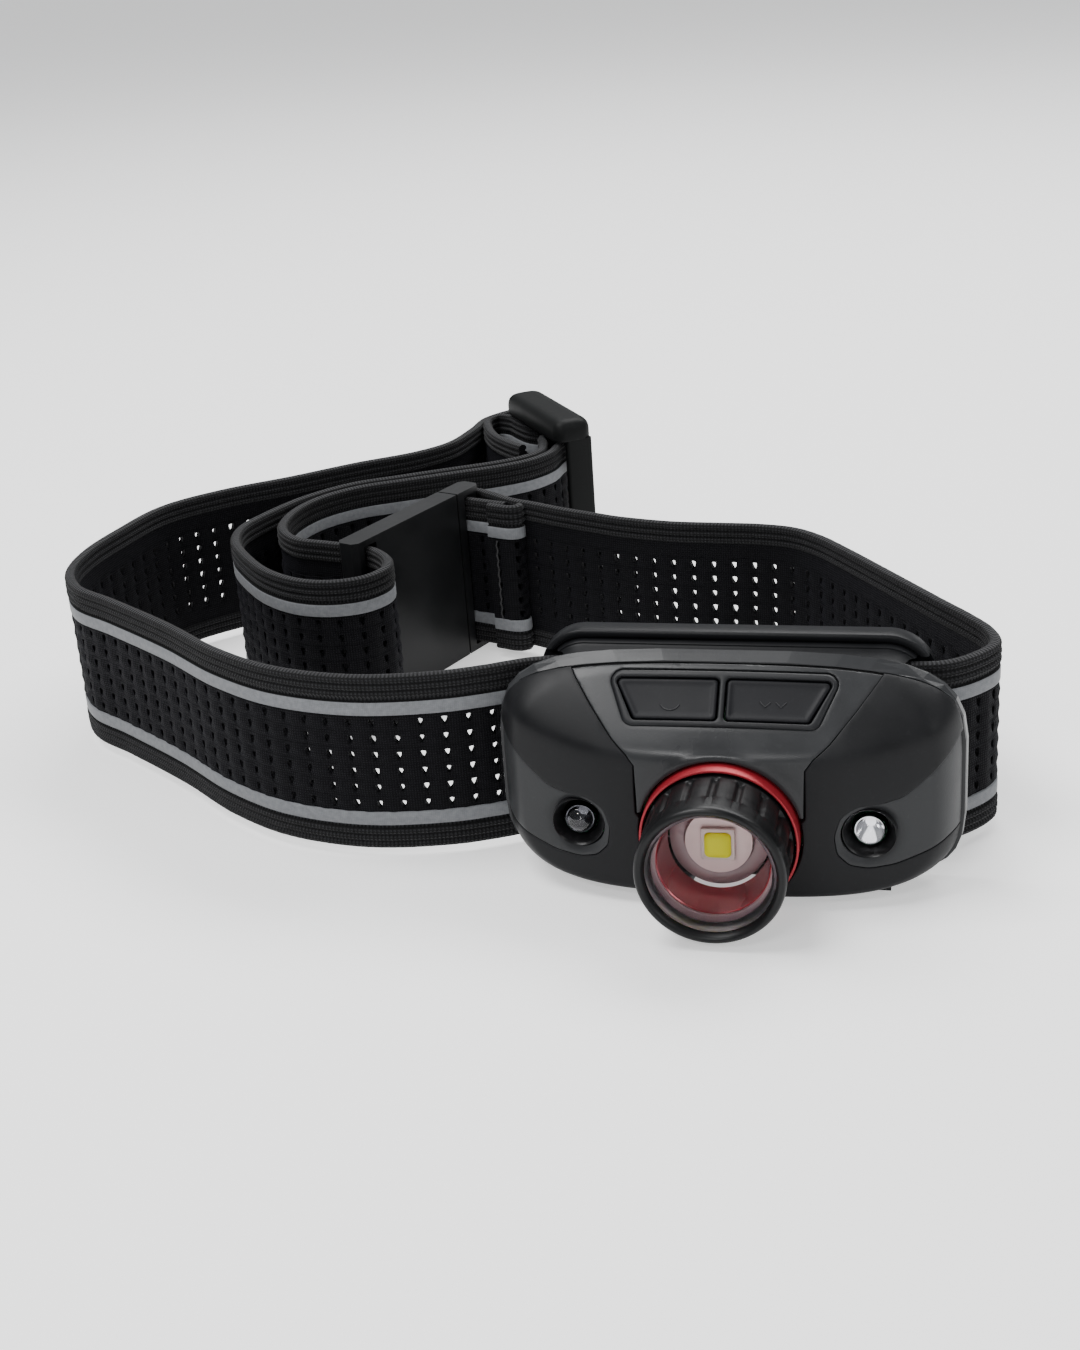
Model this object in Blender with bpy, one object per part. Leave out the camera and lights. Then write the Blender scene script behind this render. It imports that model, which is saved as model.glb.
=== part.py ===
"""Elastic-band LED headlamp: tilting lamp head, focusing barrel, strap, slider and buckle.

Axes: X to the wearer's left as the lamp is seen from the front, -Y along the beam, +Z up.
The bracket stands on z = 0 and the origin lies in its bottom face.
"""
import math

import bmesh
import bpy
import numpy as np

for ob in list(bpy.data.objects):
    bpy.data.objects.remove(ob, do_unlink=True)

MM = 0.001                      # every dimension below is in millimetres
GAP = 0.3                       # clearance left between neighbouring pieces

# lamp head
HEAD_Y = -9.0                   # plane of the head's widest outline
HEAD_HALF_W = 35.5
HEAD_HALF_H = 18.2
HEAD_MID_Z = 18.3
TOP_POWER, LOW_POWER = 3.8, 5.0  # squareness of the outline above and below its middle
FACE_Y = -14.0                  # front face, measured from HEAD_Y
BROW_Y, BROW_Z = -7.05, 31.25   # centre of the sloping button brow
BROW_SLOPE = 1.066
CREST_BLEND = 2.4
CURL = 0.12                     # share of the half width taken by the rounded edge
SKIN_INSET = 0.5
SKIN_T = 1.3
SHELL_T = 1.5
SKIN_BACK = -2.6
SHELL_INSET = SKIN_INSET + SKIN_T + GAP
REAR_FRONT, REAR_BACK = -2.3, -0.5
REAR_FLOOR = -1.6
TILT_Y, TILT_Z = 0.9, 3.2       # tilt axis, from HEAD_Y
TILT_CENTRE = (0.0, HEAD_Y + TILT_Y, TILT_Z)
KNUCKLE_R, BORE_R, PIN_R = 2.1, 1.15, 0.8
KNUCKLE_HALF_W, LUG_X0, LUG_X1 = 8.0, 8.3, 12.3
# focusing barrel
BARREL_Z = 12.0
BARREL_R = 11.0
BARREL_FRONT, BARREL_BACK = -26.1, -13.2
WELL_R = 12.2
LED_BOARD_Y, LED_HALF = -15.5, 1.9
RING_R, RING_FRONT, RING_BACK = 11.8, -15.6, -9.6
# side lights
SIDE_LED_X, SIDE_LED_Z, SIDE_LED_R = 21.6, 12.4, 2.6
CUP_R, CUP_FRONT, CUP_BACK = 3.95, -11.7, -8.9
# push buttons
BUTTON_TOP_X, BUTTON_LOW_X = 17.5, 14.1
BUTTON_HALF_T = 4.45
# strap
STRAP_T = 1.8
STRAP_Z0, STRAP_Z1 = 1.6, 31.6
HINGE_XY = (-30.0, 64.0)        # vertical axis the buckle end swings about
# bracket
BRACKET_HALF_W, BRACKET_H = 30.6, 36.3
BRACKET_DROOP = 1.1             # how far the upper corners hang below the middle
BRACKET_FRONT, BRACKET_BACK = -6.0, 2.6
CHANNEL_FRONT, CHANNEL_BACK = -4.2, 0.4
CHANNEL_Z0, CHANNEL_Z1 = 1.2, 32.3
# buckle and slider frames: origin in plan and direction of the long side
BUCKLE_XY, BUCKLE_DIR = (-76.1, 43.0), (0.3715, 0.9284)
BUCKLE_H, BUCKLE_HALF_T = 33.4, 2.3
SEAM_S, HOOK_END_S = 31.1, 38.9
SLIDER_XY, SLIDER_DIR = (-54.4, 122.5), (0.563, -0.827)
SLIDER_H, SLIDER_FLOOR, SLIDER_CEILING = 36.8, 1.2, 32.2


def material(name, colour, roughness, metallic=0.0):
    mat = bpy.data.materials.new(name)
    mat.use_nodes = True
    shader = mat.node_tree.nodes["Principled BSDF"]
    shader.inputs["Base Color"].default_value = (*colour, 1.0)
    shader.inputs["Roughness"].default_value = roughness
    shader.inputs["Metallic"].default_value = metallic
    mat.diffuse_color = (*colour, 1.0)
    return mat


SHELL_GREY = (0.050, 0.051, 0.053)
SOFT_BLACK = (0.012, 0.012, 0.013)
BLACK = (0.016, 0.016, 0.018)
RED = (0.38, 0.012, 0.02)
KNIT = (0.010, 0.010, 0.012)


def solid(name, points, faces, mat, cutter=False):
    """One closed mesh from points in millimetres, smooth where it is round."""
    mesh = bpy.data.meshes.new(name)
    mesh.from_pydata([tuple(MM * c for c in p) for p in points], [], faces)
    bm = bmesh.new()
    bm.from_mesh(mesh)
    bmesh.ops.recalc_face_normals(bm, faces=bm.faces)
    bm.to_mesh(mesh)
    bm.free()
    ob = bpy.data.objects.new(name, mesh)
    bpy.context.scene.collection.objects.link(ob)
    if mat is not None:
        mesh.materials.append(mat)
    mesh.shade_smooth()
    mesh.set_sharp_from_angle(angle=math.radians(35))
    if cutter:
        ob.hide_render = True
        ob.display_type = "WIRE"
    return ob


def loft(rings, wrap=False):
    """Faces that join rings of equal length; wrap joins the last ring to the first."""
    count = len(rings[0])
    points = [p for ring in rings for p in ring]
    faces = []
    last = len(rings) if wrap else len(rings) - 1
    for i in range(last):
        a, b = i * count, ((i + 1) % len(rings)) * count
        for j in range(count):
            k = (j + 1) % count
            faces.append((a + j, a + k, b + k, b + j))
    if not wrap:
        faces.append(tuple(range(count)))
        faces.append(tuple(range(len(points) - count, len(points))))
    return points, faces


PLANES = {"x": lambda u, v, w: (w, u, v), "y": lambda u, v, w: (u, w, v),
          "z": lambda u, v, w: (u, v, w)}


def prism(name, outline, axis, lo, hi, mat=None, cutter=False):
    """An outline drawn in the plane across an axis and extruded along that axis."""
    place = PLANES[axis]
    rings = [[place(u, v, w) for u, v in outline] for w in (lo, hi)]
    return solid(name, *loft(rings), mat, cutter)


def framed(outline, origin, direction):
    """Plan points given along and across a direction, moved into the world."""
    (ox, oy), (dx, dy) = origin, direction
    return [(ox + s * dx - n * dy, oy + s * dy + n * dx) for s, n in outline]


def rectangle(u0, u1, v0, v1):
    return [(u0, v0), (u1, v0), (u1, v1), (u0, v1)]


def rounded(u0, u1, v0, v1, radius, steps=4):
    """Rectangle with round corners."""
    points = []
    for cu, cv, turn in ((u1 - radius, v0 + radius, -90), (u1 - radius, v1 - radius, 0),
                         (u0 + radius, v1 - radius, 90), (u0 + radius, v0 + radius, 180)):
        for i in range(steps + 1):
            angle = math.radians(turn + 90 * i / steps)
            points.append((cu + radius * math.cos(angle), cv + radius * math.sin(angle)))
    return points


def turned(name, profile, mat=None, segments=48, centre=(0.0, HEAD_Y, BARREL_Z), cutter=False,
           axis="y"):
    """A closed profile of (radius, distance) turned about an axis through centre."""
    rings = []
    for i in range(segments):
        angle = 2 * math.pi * i / segments
        c, s = math.cos(angle), math.sin(angle)
        if axis == "y":
            rings.append([(centre[0] + r * c, centre[1] + d, centre[2] + r * s)
                          for r, d in profile])
        else:
            rings.append([(centre[0] + d, centre[1] + r * c, centre[2] + r * s)
                          for r, d in profile])
    return solid(name, *loft(rings, wrap=True), mat, cutter)


def disc(name, radius, lo, hi, mat=None, segments=32, centre=(0.0, HEAD_Y, BARREL_Z), axis="y",
         cutter=False):
    """A plain round rod or plate between two distances along an axis."""
    rings = []
    for d in (lo, hi):
        ring = []
        for i in range(segments):
            angle = 2 * math.pi * i / segments
            c, s = radius * math.cos(angle), radius * math.sin(angle)
            ring.append((centre[0] + c, centre[1] + d, centre[2] + s) if axis == "y"
                        else (centre[0] + d, centre[1] + c, centre[2] + s))
        rings.append(ring)
    return solid(name, *loft(rings), mat, cutter)


def combine(ob, tool, operation="DIFFERENCE"):
    mod = ob.modifiers.new(f"{operation.lower()}_{tool.name}", "BOOLEAN")
    mod.operation = operation
    mod.solver = "EXACT"
    mod.object = tool
    return ob


def set_origin(ob, x, y, z):
    """Put an object's origin on an axis without moving its geometry."""
    offset = np.array((x, y, z)) * MM
    for vert in ob.data.vertices:
        vert.co = (vert.co[0] - offset[0], vert.co[1] - offset[1], vert.co[2] - offset[2])
    ob.location = tuple(offset)


def hang_on(parent, *children):
    """Parent pieces to an empty and keep them where they are."""
    for child in children:
        child.parent = parent
        child.location = tuple(c - p for c, p in zip(child.location, parent.location))


def axis_empty(name, x, y, z):
    empty = bpy.data.objects.new(name, None)
    empty.location = (x * MM, y * MM, z * MM)
    bpy.context.scene.collection.objects.link(empty)
    return empty


def grown(outline, distance):
    """An outline moved outward by a distance along its corner normals."""
    pts = np.array(outline, float)
    area = 0.5 * np.sum(pts[:, 0] * np.roll(pts[:, 1], -1) - np.roll(pts[:, 0], -1) * pts[:, 1])
    sign = 1.0 if area > 0 else -1.0
    result = []
    for i in range(len(pts)):
        before = pts[i] - pts[i - 1]
        after = pts[(i + 1) % len(pts)] - pts[i]
        n1 = np.array((before[1], -before[0])) / np.linalg.norm(before) * sign
        n2 = np.array((after[1], -after[0])) / np.linalg.norm(after) * sign
        mean = (n1 + n2) / np.linalg.norm(n1 + n2)
        result.append(tuple(pts[i] + mean * distance / max(0.4, float(mean @ n1))))
    return result


TURN_STEPS = 4.0                # path points for each radian of bend
FINE_STEP = 1.0


def smooth_path(controls, spacing):
    """Centripetal Catmull-Rom curve through plan points, read more finely in its bends."""
    pts = [np.array(p, float) for p in controls]
    pts = [2 * pts[0] - pts[1]] + pts + [2 * pts[-1] - pts[-2]]
    line = []
    for p0, p1, p2, p3 in zip(pts, pts[1:], pts[2:], pts[3:]):
        t0 = 0.0
        t1 = t0 + math.sqrt(np.linalg.norm(p1 - p0))
        t2 = t1 + math.sqrt(np.linalg.norm(p2 - p1))
        t3 = t2 + math.sqrt(np.linalg.norm(p3 - p2))
        for t in np.linspace(t1, t2, 24, endpoint=False):
            a1 = (t1 - t) / (t1 - t0) * p0 + (t - t0) / (t1 - t0) * p1
            a2 = (t2 - t) / (t2 - t1) * p1 + (t - t1) / (t2 - t1) * p2
            a3 = (t3 - t) / (t3 - t2) * p2 + (t - t2) / (t3 - t2) * p3
            b1 = (t2 - t) / (t2 - t0) * a1 + (t - t0) / (t2 - t0) * a2
            b2 = (t3 - t) / (t3 - t1) * a2 + (t - t1) / (t3 - t1) * a3
            line.append((t2 - t) / (t2 - t1) * b1 + (t - t1) / (t2 - t1) * b2)
    line.append(pts[-2])
    line = np.array(line)
    length = np.concatenate(([0.0], np.cumsum(np.linalg.norm(np.diff(line, axis=0), axis=1))))
    heading = np.unwrap(np.arctan2(*np.gradient(line, axis=0).T[::-1]))
    bend = np.abs(np.gradient(heading, length))
    demand = np.clip(bend * TURN_STEPS, 1.0 / spacing, 1.0 / FINE_STEP)
    count = np.concatenate(([0.0], np.cumsum(0.5 * (demand[1:] + demand[:-1]) * np.diff(length))))
    steps = max(2, int(round(count[-1])))
    at = np.interp(np.linspace(0.0, count[-1], steps + 1), count, length)
    return np.column_stack((np.interp(at, length, line[:, 0]), np.interp(at, length, line[:, 1])))


def ribbon(name, controls, mat, spacing=5.0):
    """A flat band standing on edge along a plan path, with softened edges."""
    path = smooth_path(controls, spacing)
    tangent = np.gradient(path, axis=0)
    tangent /= np.linalg.norm(tangent, axis=1)[:, None]
    normal = np.column_stack((-tangent[:, 1], tangent[:, 0]))
    half, soft = STRAP_T / 2, 0.5
    section = [(-half, STRAP_Z0 + soft), (-half + soft, STRAP_Z0), (half - soft, STRAP_Z0),
               (half, STRAP_Z0 + soft), (half, STRAP_Z1 - soft), (half - soft, STRAP_Z1),
               (-half + soft, STRAP_Z1), (-half, STRAP_Z1 - soft)]
    rings = [[(p[0] + n[0] * o, p[1] + n[1] * o, z) for o, z in section]
             for p, n in zip(path, normal)]
    return solid(name, *loft(rings), mat)


# ---------------------------------------------------------------- lamp head surface
def face_depth(x, z):
    """Front surface of the head: an upright curved face that meets a sloping brow."""
    face = FACE_Y + 8.5 * abs(x / HEAD_HALF_W) ** 2.8
    brow = BROW_Y + BROW_SLOPE * (z - BROW_Z) + 3.0 * (x / HEAD_HALF_W) ** 2
    return 0.5 * (face + brow + math.hypot(face - brow, CREST_BLEND))


def outline_point(angle, inset):
    """A point of the head's outline, a rounder oval on top than below."""
    c, s = math.cos(angle), math.sin(angle)
    power = TOP_POWER if s > 0 else LOW_POWER
    return (math.copysign(abs(c) ** (2 / power), c) * (HEAD_HALF_W - inset),
            math.copysign(abs(s) ** (2 / power), s) * (HEAD_HALF_H - inset))


RING_SHARES = (0.06, 0.2, 0.34, 0.46, 0.56, 0.66, 0.76, 0.88, 0.93, 0.97, 0.993, 1.0)
FORM_BACK = 8.0


def dome_form(name, inset, setback, segments=36, cutter=True):
    """The head's outer form as a solid: its front surface, edge curl and a long back."""
    rings = []
    for share in RING_SHARES:
        step = min(1.0, max(0.0, (share - 1 + CURL) / CURL))
        ring = []
        for i in range(segments):
            px, pz = outline_point(2 * math.pi * (i + 0.5) / segments, inset)
            x, z = px * share, HEAD_MID_Z + pz * share
            y = face_depth(x, z) * math.sqrt(max(0.0, 1 - step * step)) + setback
            ring.append((x, HEAD_Y + y, z))
        rings.append(ring)
    rings.append([(x, HEAD_Y + FORM_BACK + inset, z) for x, y, z in rings[-1]])
    return solid(name, *loft(rings), None, cutter)


def outline_prism(name, inset, front, back, mat=None, segments=36, cutter=False):
    """The head's outline, moved inward, extruded between two depths."""
    outline = []
    for i in range(segments):
        px, pz = outline_point(2 * math.pi * (i + 0.5) / segments, inset)
        outline.append((px, HEAD_MID_Z + pz))
    return prism(name, outline, "y", HEAD_Y + front, HEAD_Y + back, mat, cutter)


BROW_N = np.array((0.0, -1.0, BROW_SLOPE)) / math.hypot(1.0, BROW_SLOPE)
BROW_T = np.array((0.0, BROW_SLOPE, 1.0)) / math.hypot(1.0, BROW_SLOPE)
BROW_O = np.array((0.0, HEAD_Y + BROW_Y, BROW_Z))


def brow_block(name, outline, top, bottom, mat=None, cutter=False):
    """An outline drawn on the sloping brow and extruded between two heights over it."""
    rings = [[tuple(BROW_O + np.array((u, 0, 0)) + BROW_T * v + BROW_N * w)
              for u, v in outline] for w in (bottom, top)]
    return solid(name, *loft(rings), mat, cutter)


def trapezoid(left_top, right_top, left_low, right_low, half_t):
    return [(left_low, -half_t), (right_low, -half_t), (right_top, half_t), (left_top, half_t)]


FACE_EDGE = [(23.2, 41.0), (23.2, 33.8), (19.5, 29.8), (16.0, 26.4), (13.7, 24.6),
             (12.5, 23.0), (12.3, 18.0), (12.3, 13.5)]
FACE_OUTLINE = FACE_EDGE + [(-x, z) for x, z in FACE_EDGE[::-1]]
SIDE_OUTLINE = [(41.0, 27.6), (35.2, 26.9), (33.4, 24.2), (30.2, 20.9), (26.4, 18.0),
                (22.8, 17.1), (20.0, 16.9), (17.5, 15.3), (16.6, 12.3), (17.0, 9.4),
                (18.8, 7.5), (21.6, 6.8), (25.4, 7.1), (29.8, 8.4), (34.8, 10.4), (41.0, 11.8)]
FRONT_CUT, BACK_CUT = HEAD_Y - 30.0, HEAD_Y + 2.0


def mirrored(outline):
    return [(-x, z) for x, z in outline[::-1]]


well_cutter = disc("well_cutter", WELL_R, -30.0, -8.0, segments=64, cutter=True)
button_opening = trapezoid(-BUTTON_TOP_X, BUTTON_TOP_X, -BUTTON_LOW_X, BUTTON_LOW_X,
                           BUTTON_HALF_T)
button_cutter = brow_block("button_cutter", grown(button_opening, GAP), 4.0, -7.5, cutter=True)

# ---------------------------------------------------------------- bracket and strap hardware
root_grey = material("bracket_grey", SHELL_GREY, 0.38)
bracket_outline = rounded(-BRACKET_HALF_W, BRACKET_HALF_W, 0.0, BRACKET_H, 7.0, 5)
bracket_outline = [(x, z - BRACKET_DROOP * (x / BRACKET_HALF_W) ** 2 * (z / BRACKET_H))
                   for x, z in bracket_outline]
bracket = prism("bracket", bracket_outline, "y", BRACKET_FRONT, BRACKET_BACK, root_grey)
for side in (-1, 1):
    lug = disc(f"lug_{side}", KNUCKLE_R, LUG_X0 * side, LUG_X1 * side, centre=TILT_CENTRE,
               axis="x", segments=24, cutter=True)
    combine(bracket, lug, "UNION")
    web = prism(f"lug_web_{side}", rectangle(HEAD_Y + TILT_Y, BRACKET_FRONT + 1.0,
                                             TILT_Z - 2.0, TILT_Z + 2.0),
                "x", LUG_X0 * side, LUG_X1 * side, cutter=True)
    combine(bracket, web, "UNION")
# the top is a thin lip with a ledge and a slope in front of it, as (depth, height)
LIP_Y, LEDGE_Z, LEDGE_Y, SLOPE_Z = -1.3, 35.3, -2.0, 33.4
combine(bracket, prism("top_slope", [(LIP_Y, BRACKET_H + 3.0), (LIP_Y, LEDGE_Z),
                                     (LEDGE_Y, LEDGE_Z), (BRACKET_FRONT, SLOPE_Z),
                                     (BRACKET_FRONT - 4.0, SLOPE_Z - 1.7),
                                     (BRACKET_FRONT - 4.0, BRACKET_H + 3.0)],
                       "x", -40, 40, cutter=True))
combine(bracket, prism("channel_cutter", rectangle(-40, 40, CHANNEL_FRONT, CHANNEL_BACK),
                       "z", CHANNEL_Z0, CHANNEL_Z1, cutter=True))
for side in (-1, 1):
    combine(bracket, prism(f"mouth_cutter_{side}",
                           rectangle(*sorted((29.5 * side, 45.0 * side)), -7.0, CHANNEL_FRONT + 1),
                           "z", CHANNEL_Z0, CHANNEL_Z1, cutter=True))
combine(bracket, disc("lug_bore", BORE_R, -20, 20, centre=TILT_CENTRE, axis="x", segments=24,
                      cutter=True))
hinge_pin = disc("hinge_pin", PIN_R, -12.0, 12.0, material("pin_steel", (0.5, 0.5, 0.5), 0.3, 1.0),
                 centre=TILT_CENTRE, axis="x", segments=20)
forehead_pad = prism("forehead_pad", rounded(-27.0, 27.0, 3.0, 33.0, 5.0), "y",
                     BRACKET_BACK + GAP, BRACKET_BACK + 2.8, material("pad_foam", BLACK, 0.9))

# ---------------------------------------------------------------- strap
knit = material("strap_knit", KNIT, 0.9)
strap_end_route = framed([(35.4, -12.5), (35.2, -6.0), (35.1, -1.2), (35.5, 1.4), (37.0, 2.8),
                          (38.9, 2.7), (40.3, 1.0), (40.4, -1.0), (39.4, -5.0), (37.9, -10.5)],
                         BUCKLE_XY, BUCKLE_DIR) + [(-48.0, 72.3), (-41.2, 68.8), (-34.5, 65.9),
                                                   (-30.5, 64.2)]
strap_end = ribbon("strap_end", strap_end_route, knit)
set_origin(strap_end, *HINGE_XY, 0.0)

SLIDER_IN = [(-18.6, 1.4), (-15.2, 5.0), (-8.0, 5.8), (0.0, 5.3), (5.0, 3.5), (8.6, 0.0),
             (11.6, -3.2), (16.0, -7.1)]
SLIDER_LOOP = [(14.0, -8.6), (9.0, -5.6), (4.6, -4.0), (2.8, -0.8), (2.6, 0.8), (1.8, 2.3),
               (0.0, 2.9), (-1.8, 2.3), (-2.6, 0.8), (-3.0, -0.8), (-5.5, -2.7), (-10.0, -3.5),
               (-14.5, -3.9), (-17.0, -6.0), (-15.5, -8.9), (-10.0, -11.0), (-3.0, -12.1),
               (4.0, -11.5), (10.5, -9.8)]
strap_route = (
    [(-29.5, 63.8), (-19.3, 61.2), (-10.0, 60.5), (-2.7, 60.0), (3.7, 58.2), (8.6, 54.1),
     (13.3, 48.1), (22.5, 35.2), (30.9, 23.3), (34.8, 17.9), (38.2, 12.0), (38.9, 7.0),
     (36.2, 2.4), (31.8, -1.1), (26.0, -1.9), (0.0, -1.9), (-26.0, -2.2), (-31.5, -3.3),
     (-38.0, -6.6), (-45.0, -9.4), (-58.0, -11.5), (-72.0, -9.0), (-84.0, -2.5), (-97.0, 8.0),
     (-112.0, 18.7), (-121.0, 24.8), (-126.0, 33.0), (-127.4, 43.0), (-126.0, 55.0),
     (-122.5, 69.0), (-114.0, 79.0), (-102.0, 88.0), (-91.0, 97.2), (-80.0, 105.0),
     (-74.5, 112.0), (-72.0, 122.0), (-70.6, 131.0)]
    + framed(SLIDER_IN, SLIDER_XY, SLIDER_DIR)
    + [(-54.5, 99.8), (-60.0, 95.5), (-68.2, 91.2), (-77.4, 86.3), (-86.0, 81.5),
       (-92.0, 74.4), (-94.4, 66.0), (-93.4, 57.2), (-88.5, 51.0), (-82.2, 49.1)]
    + framed([(4.2, 2.6), (4.2, 0.0), (4.2, -2.6)], BUCKLE_XY, BUCKLE_DIR)
    + [(-67.8, 41.0), (-66.8, 36.0), (-69.5, 31.2), (-75.0, 28.9), (-81.0, 29.6),
       (-88.0, 33.8), (-95.3, 42.0), (-100.0, 49.5), (-101.6, 57.0), (-99.0, 66.5),
       (-94.6, 75.8), (-87.8, 83.7), (-78.8, 88.8), (-69.6, 93.7), (-61.6, 97.9),
       (-56.6, 101.6)]
    + framed(SLIDER_LOOP, SLIDER_XY, SLIDER_DIR))
strap_main = ribbon("strap_main", strap_route, knit)

# ---------------------------------------------------------------- slider
slider = prism("strap_slider", framed(rounded(-15.0, 14.6, -4.8, 3.4, 1.6, 3), SLIDER_XY,
                                      SLIDER_DIR), "z", 0.0, SLIDER_H,
               material("slider_black", BLACK, 0.42))
# windows cut between the two rails, as spans along and across the slider
SLIDER_CUTS = {"left_slot": (-13.3, -1.1, -9.0, 9.0), "right_slot": (1.1, 12.8, -9.0, 9.0),
               "left_back": (-20.0, 5.0, 2.5, 9.0), "left_front": (-20.0, 5.0, -9.0, -1.4),
               "right_front": (8.0, 20.0, -9.0, -2.4), "bar_relief": (-1.7, 1.7, 1.3, 9.0)}
for label, (a0, a1, b0, b1) in SLIDER_CUTS.items():
    combine(slider, prism(f"slider_{label}", framed(rectangle(a0, a1, b0, b1), SLIDER_XY,
                                                    SLIDER_DIR), "z", SLIDER_FLOOR,
                          SLIDER_CEILING, cutter=True))

# ---------------------------------------------------------------- buckle
buckle_black = material("buckle_black", BLACK, 0.3)


def buckle_block(name, s0, s1, n0, n1, z0, z1, mat=None, cutter=False):
    return prism(name, framed(rectangle(s0, s1, n0, n1), BUCKLE_XY, BUCKLE_DIR), "z", z0, z1,
                 mat, cutter)


socket_outline = [(0.0, -1.3), (1.0, -BUCKLE_HALF_T), (SEAM_S, -BUCKLE_HALF_T),
                  (SEAM_S, BUCKLE_HALF_T), (1.0, BUCKLE_HALF_T), (0.0, 1.3)]
buckle_socket = prism("buckle_socket", framed(socket_outline, BUCKLE_XY, BUCKLE_DIR), "z",
                      0.0, BUCKLE_H, buckle_black)
combine(buckle_socket, buckle_block("socket_slot", 2.5, 6.0, -5, 5, 1.2, 32.2, cutter=True))
combine(buckle_socket, buckle_block("socket_mouth", 26.5, 40, -1.5, 1.5, 5.4, 27.6, cutter=True))
hook_outline = [(SEAM_S + 0.4, -BUCKLE_HALF_T), (HOOK_END_S - 1.0, -BUCKLE_HALF_T),
                (HOOK_END_S, -1.4), (HOOK_END_S, 1.4), (HOOK_END_S - 1.0, BUCKLE_HALF_T),
                (SEAM_S + 0.4, BUCKLE_HALF_T)]
buckle_hook = prism("buckle_hook", framed(hook_outline, BUCKLE_XY, BUCKLE_DIR), "z", 0.0,
                    BUCKLE_H, buckle_black)
combine(buckle_hook, buckle_block("hook_tongue", 27.2, SEAM_S + 2.0, -0.9, 0.9, 6.0, 27.0,
                                  cutter=True), "UNION")
combine(buckle_hook, buckle_block("hook_slot", 33.6, 36.7, -5, 5, 1.2, 32.2, cutter=True))
combine(buckle_hook, buckle_block("hook_relief_out", 36.0, 45.0, 1.2, 6.0, 1.2, 32.2,
                                  cutter=True))
combine(buckle_hook, buckle_block("hook_relief_in", 36.0, 45.0, -6.0, -1.2, 1.2, 32.2,
                                  cutter=True))
set_origin(buckle_hook, *HINGE_XY, 0.0)

# ---------------------------------------------------------------- head shells
shell_grey = material("shell_grey", SHELL_GREY, 0.45)
soft_black = material("soft_black", SOFT_BLACK, 0.5)
skin_mesh = dome_form("skin_form", SKIN_INSET, 0.0).data
bpy.data.objects.remove(bpy.data.objects["skin_form"])
skin_core = dome_form("skin_core", SKIN_INSET + SKIN_T, SKIN_T)
back_cutter = prism("back_cutter", rectangle(-60.0, 60.0, -20.0, 60.0), "y",
                    HEAD_Y + SKIN_BACK, HEAD_Y + 30.0, cutter=True)


def skin_piece(name, mat):
    ob = bpy.data.objects.new(name, skin_mesh.copy())
    bpy.context.scene.collection.objects.link(ob)
    ob.data.materials.append(mat)
    combine(ob, skin_core)
    return combine(ob, back_cutter)


def y_prism(name, outline):
    return prism(name, outline, "y", FRONT_CUT, BACK_CUT, cutter=True)


face_panel = skin_piece("face_panel", shell_grey)
combine(face_panel, y_prism("face_form", grown(FACE_OUTLINE, -GAP / 2)), "INTERSECT")
combine(face_panel, well_cutter)
combine(face_panel, button_cutter)

face_edge_right = grown(FACE_OUTLINE, GAP / 2)[:len(FACE_EDGE)]
grip_outline = ([(41.0, -3.0), (41.0, 41.0)] + face_edge_right
                + [(GAP / 2, face_edge_right[-1][1]), (GAP / 2, -3.0)])
side_grown = grown(SIDE_OUTLINE, GAP / 2)
side_shrunk = grown(SIDE_OUTLINE, -GAP / 2)
led_hole = {}
head_parts = [face_panel]
for label, flip in (("right", False), ("left", True)):
    pose = mirrored if flip else list
    led_hole[label] = disc(f"led_hole_{label}", CUP_R + GAP, -30.0, -7.0, segments=28,
                           centre=(-SIDE_LED_X if flip else SIDE_LED_X, HEAD_Y, SIDE_LED_Z),
                           cutter=True)
    grip = skin_piece(f"grip_{label}", soft_black)
    combine(grip, y_prism(f"grip_form_{label}", pose(grip_outline)), "INTERSECT")
    combine(grip, y_prism(f"grip_window_{label}", pose(side_grown)))
    combine(grip, well_cutter)
    panel = skin_piece(f"side_panel_{label}", shell_grey)
    combine(panel, y_prism(f"side_form_{label}", pose(side_shrunk)), "INTERSECT")
    combine(panel, led_hole[label])
    head_parts += [grip, panel]

housing_front = dome_form("housing_front", SHELL_INSET, SKIN_T + GAP, cutter=False)
housing_front.data.materials.append(material("housing_black", BLACK, 0.6))
combine(housing_front, dome_form("housing_core", SHELL_INSET + SHELL_T, SKIN_T + GAP + SHELL_T))
combine(housing_front, back_cutter)
SCREW_X, SCREW_Z = 27.2, (9.5, 21.5)
screw_sites = [(sx * SCREW_X, sz) for sx in (-1, 1) for sz in SCREW_Z]
for i, (sx, sz) in enumerate(screw_sites):
    combine(housing_front, disc(f"boss_{i}", 1.9, -7.3, SKIN_BACK - 0.2, segments=20,
                                centre=(sx, HEAD_Y, sz), cutter=True), "UNION")
for i, (sx, sz) in enumerate(screw_sites):
    combine(housing_front, disc(f"boss_bore_{i}", 1.1, -5.6, 0.0, segments=16,
                                centre=(sx, HEAD_Y, sz), cutter=True))
combine(housing_front, button_cutter)
for label in led_hole:
    combine(housing_front, led_hole[label])

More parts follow.
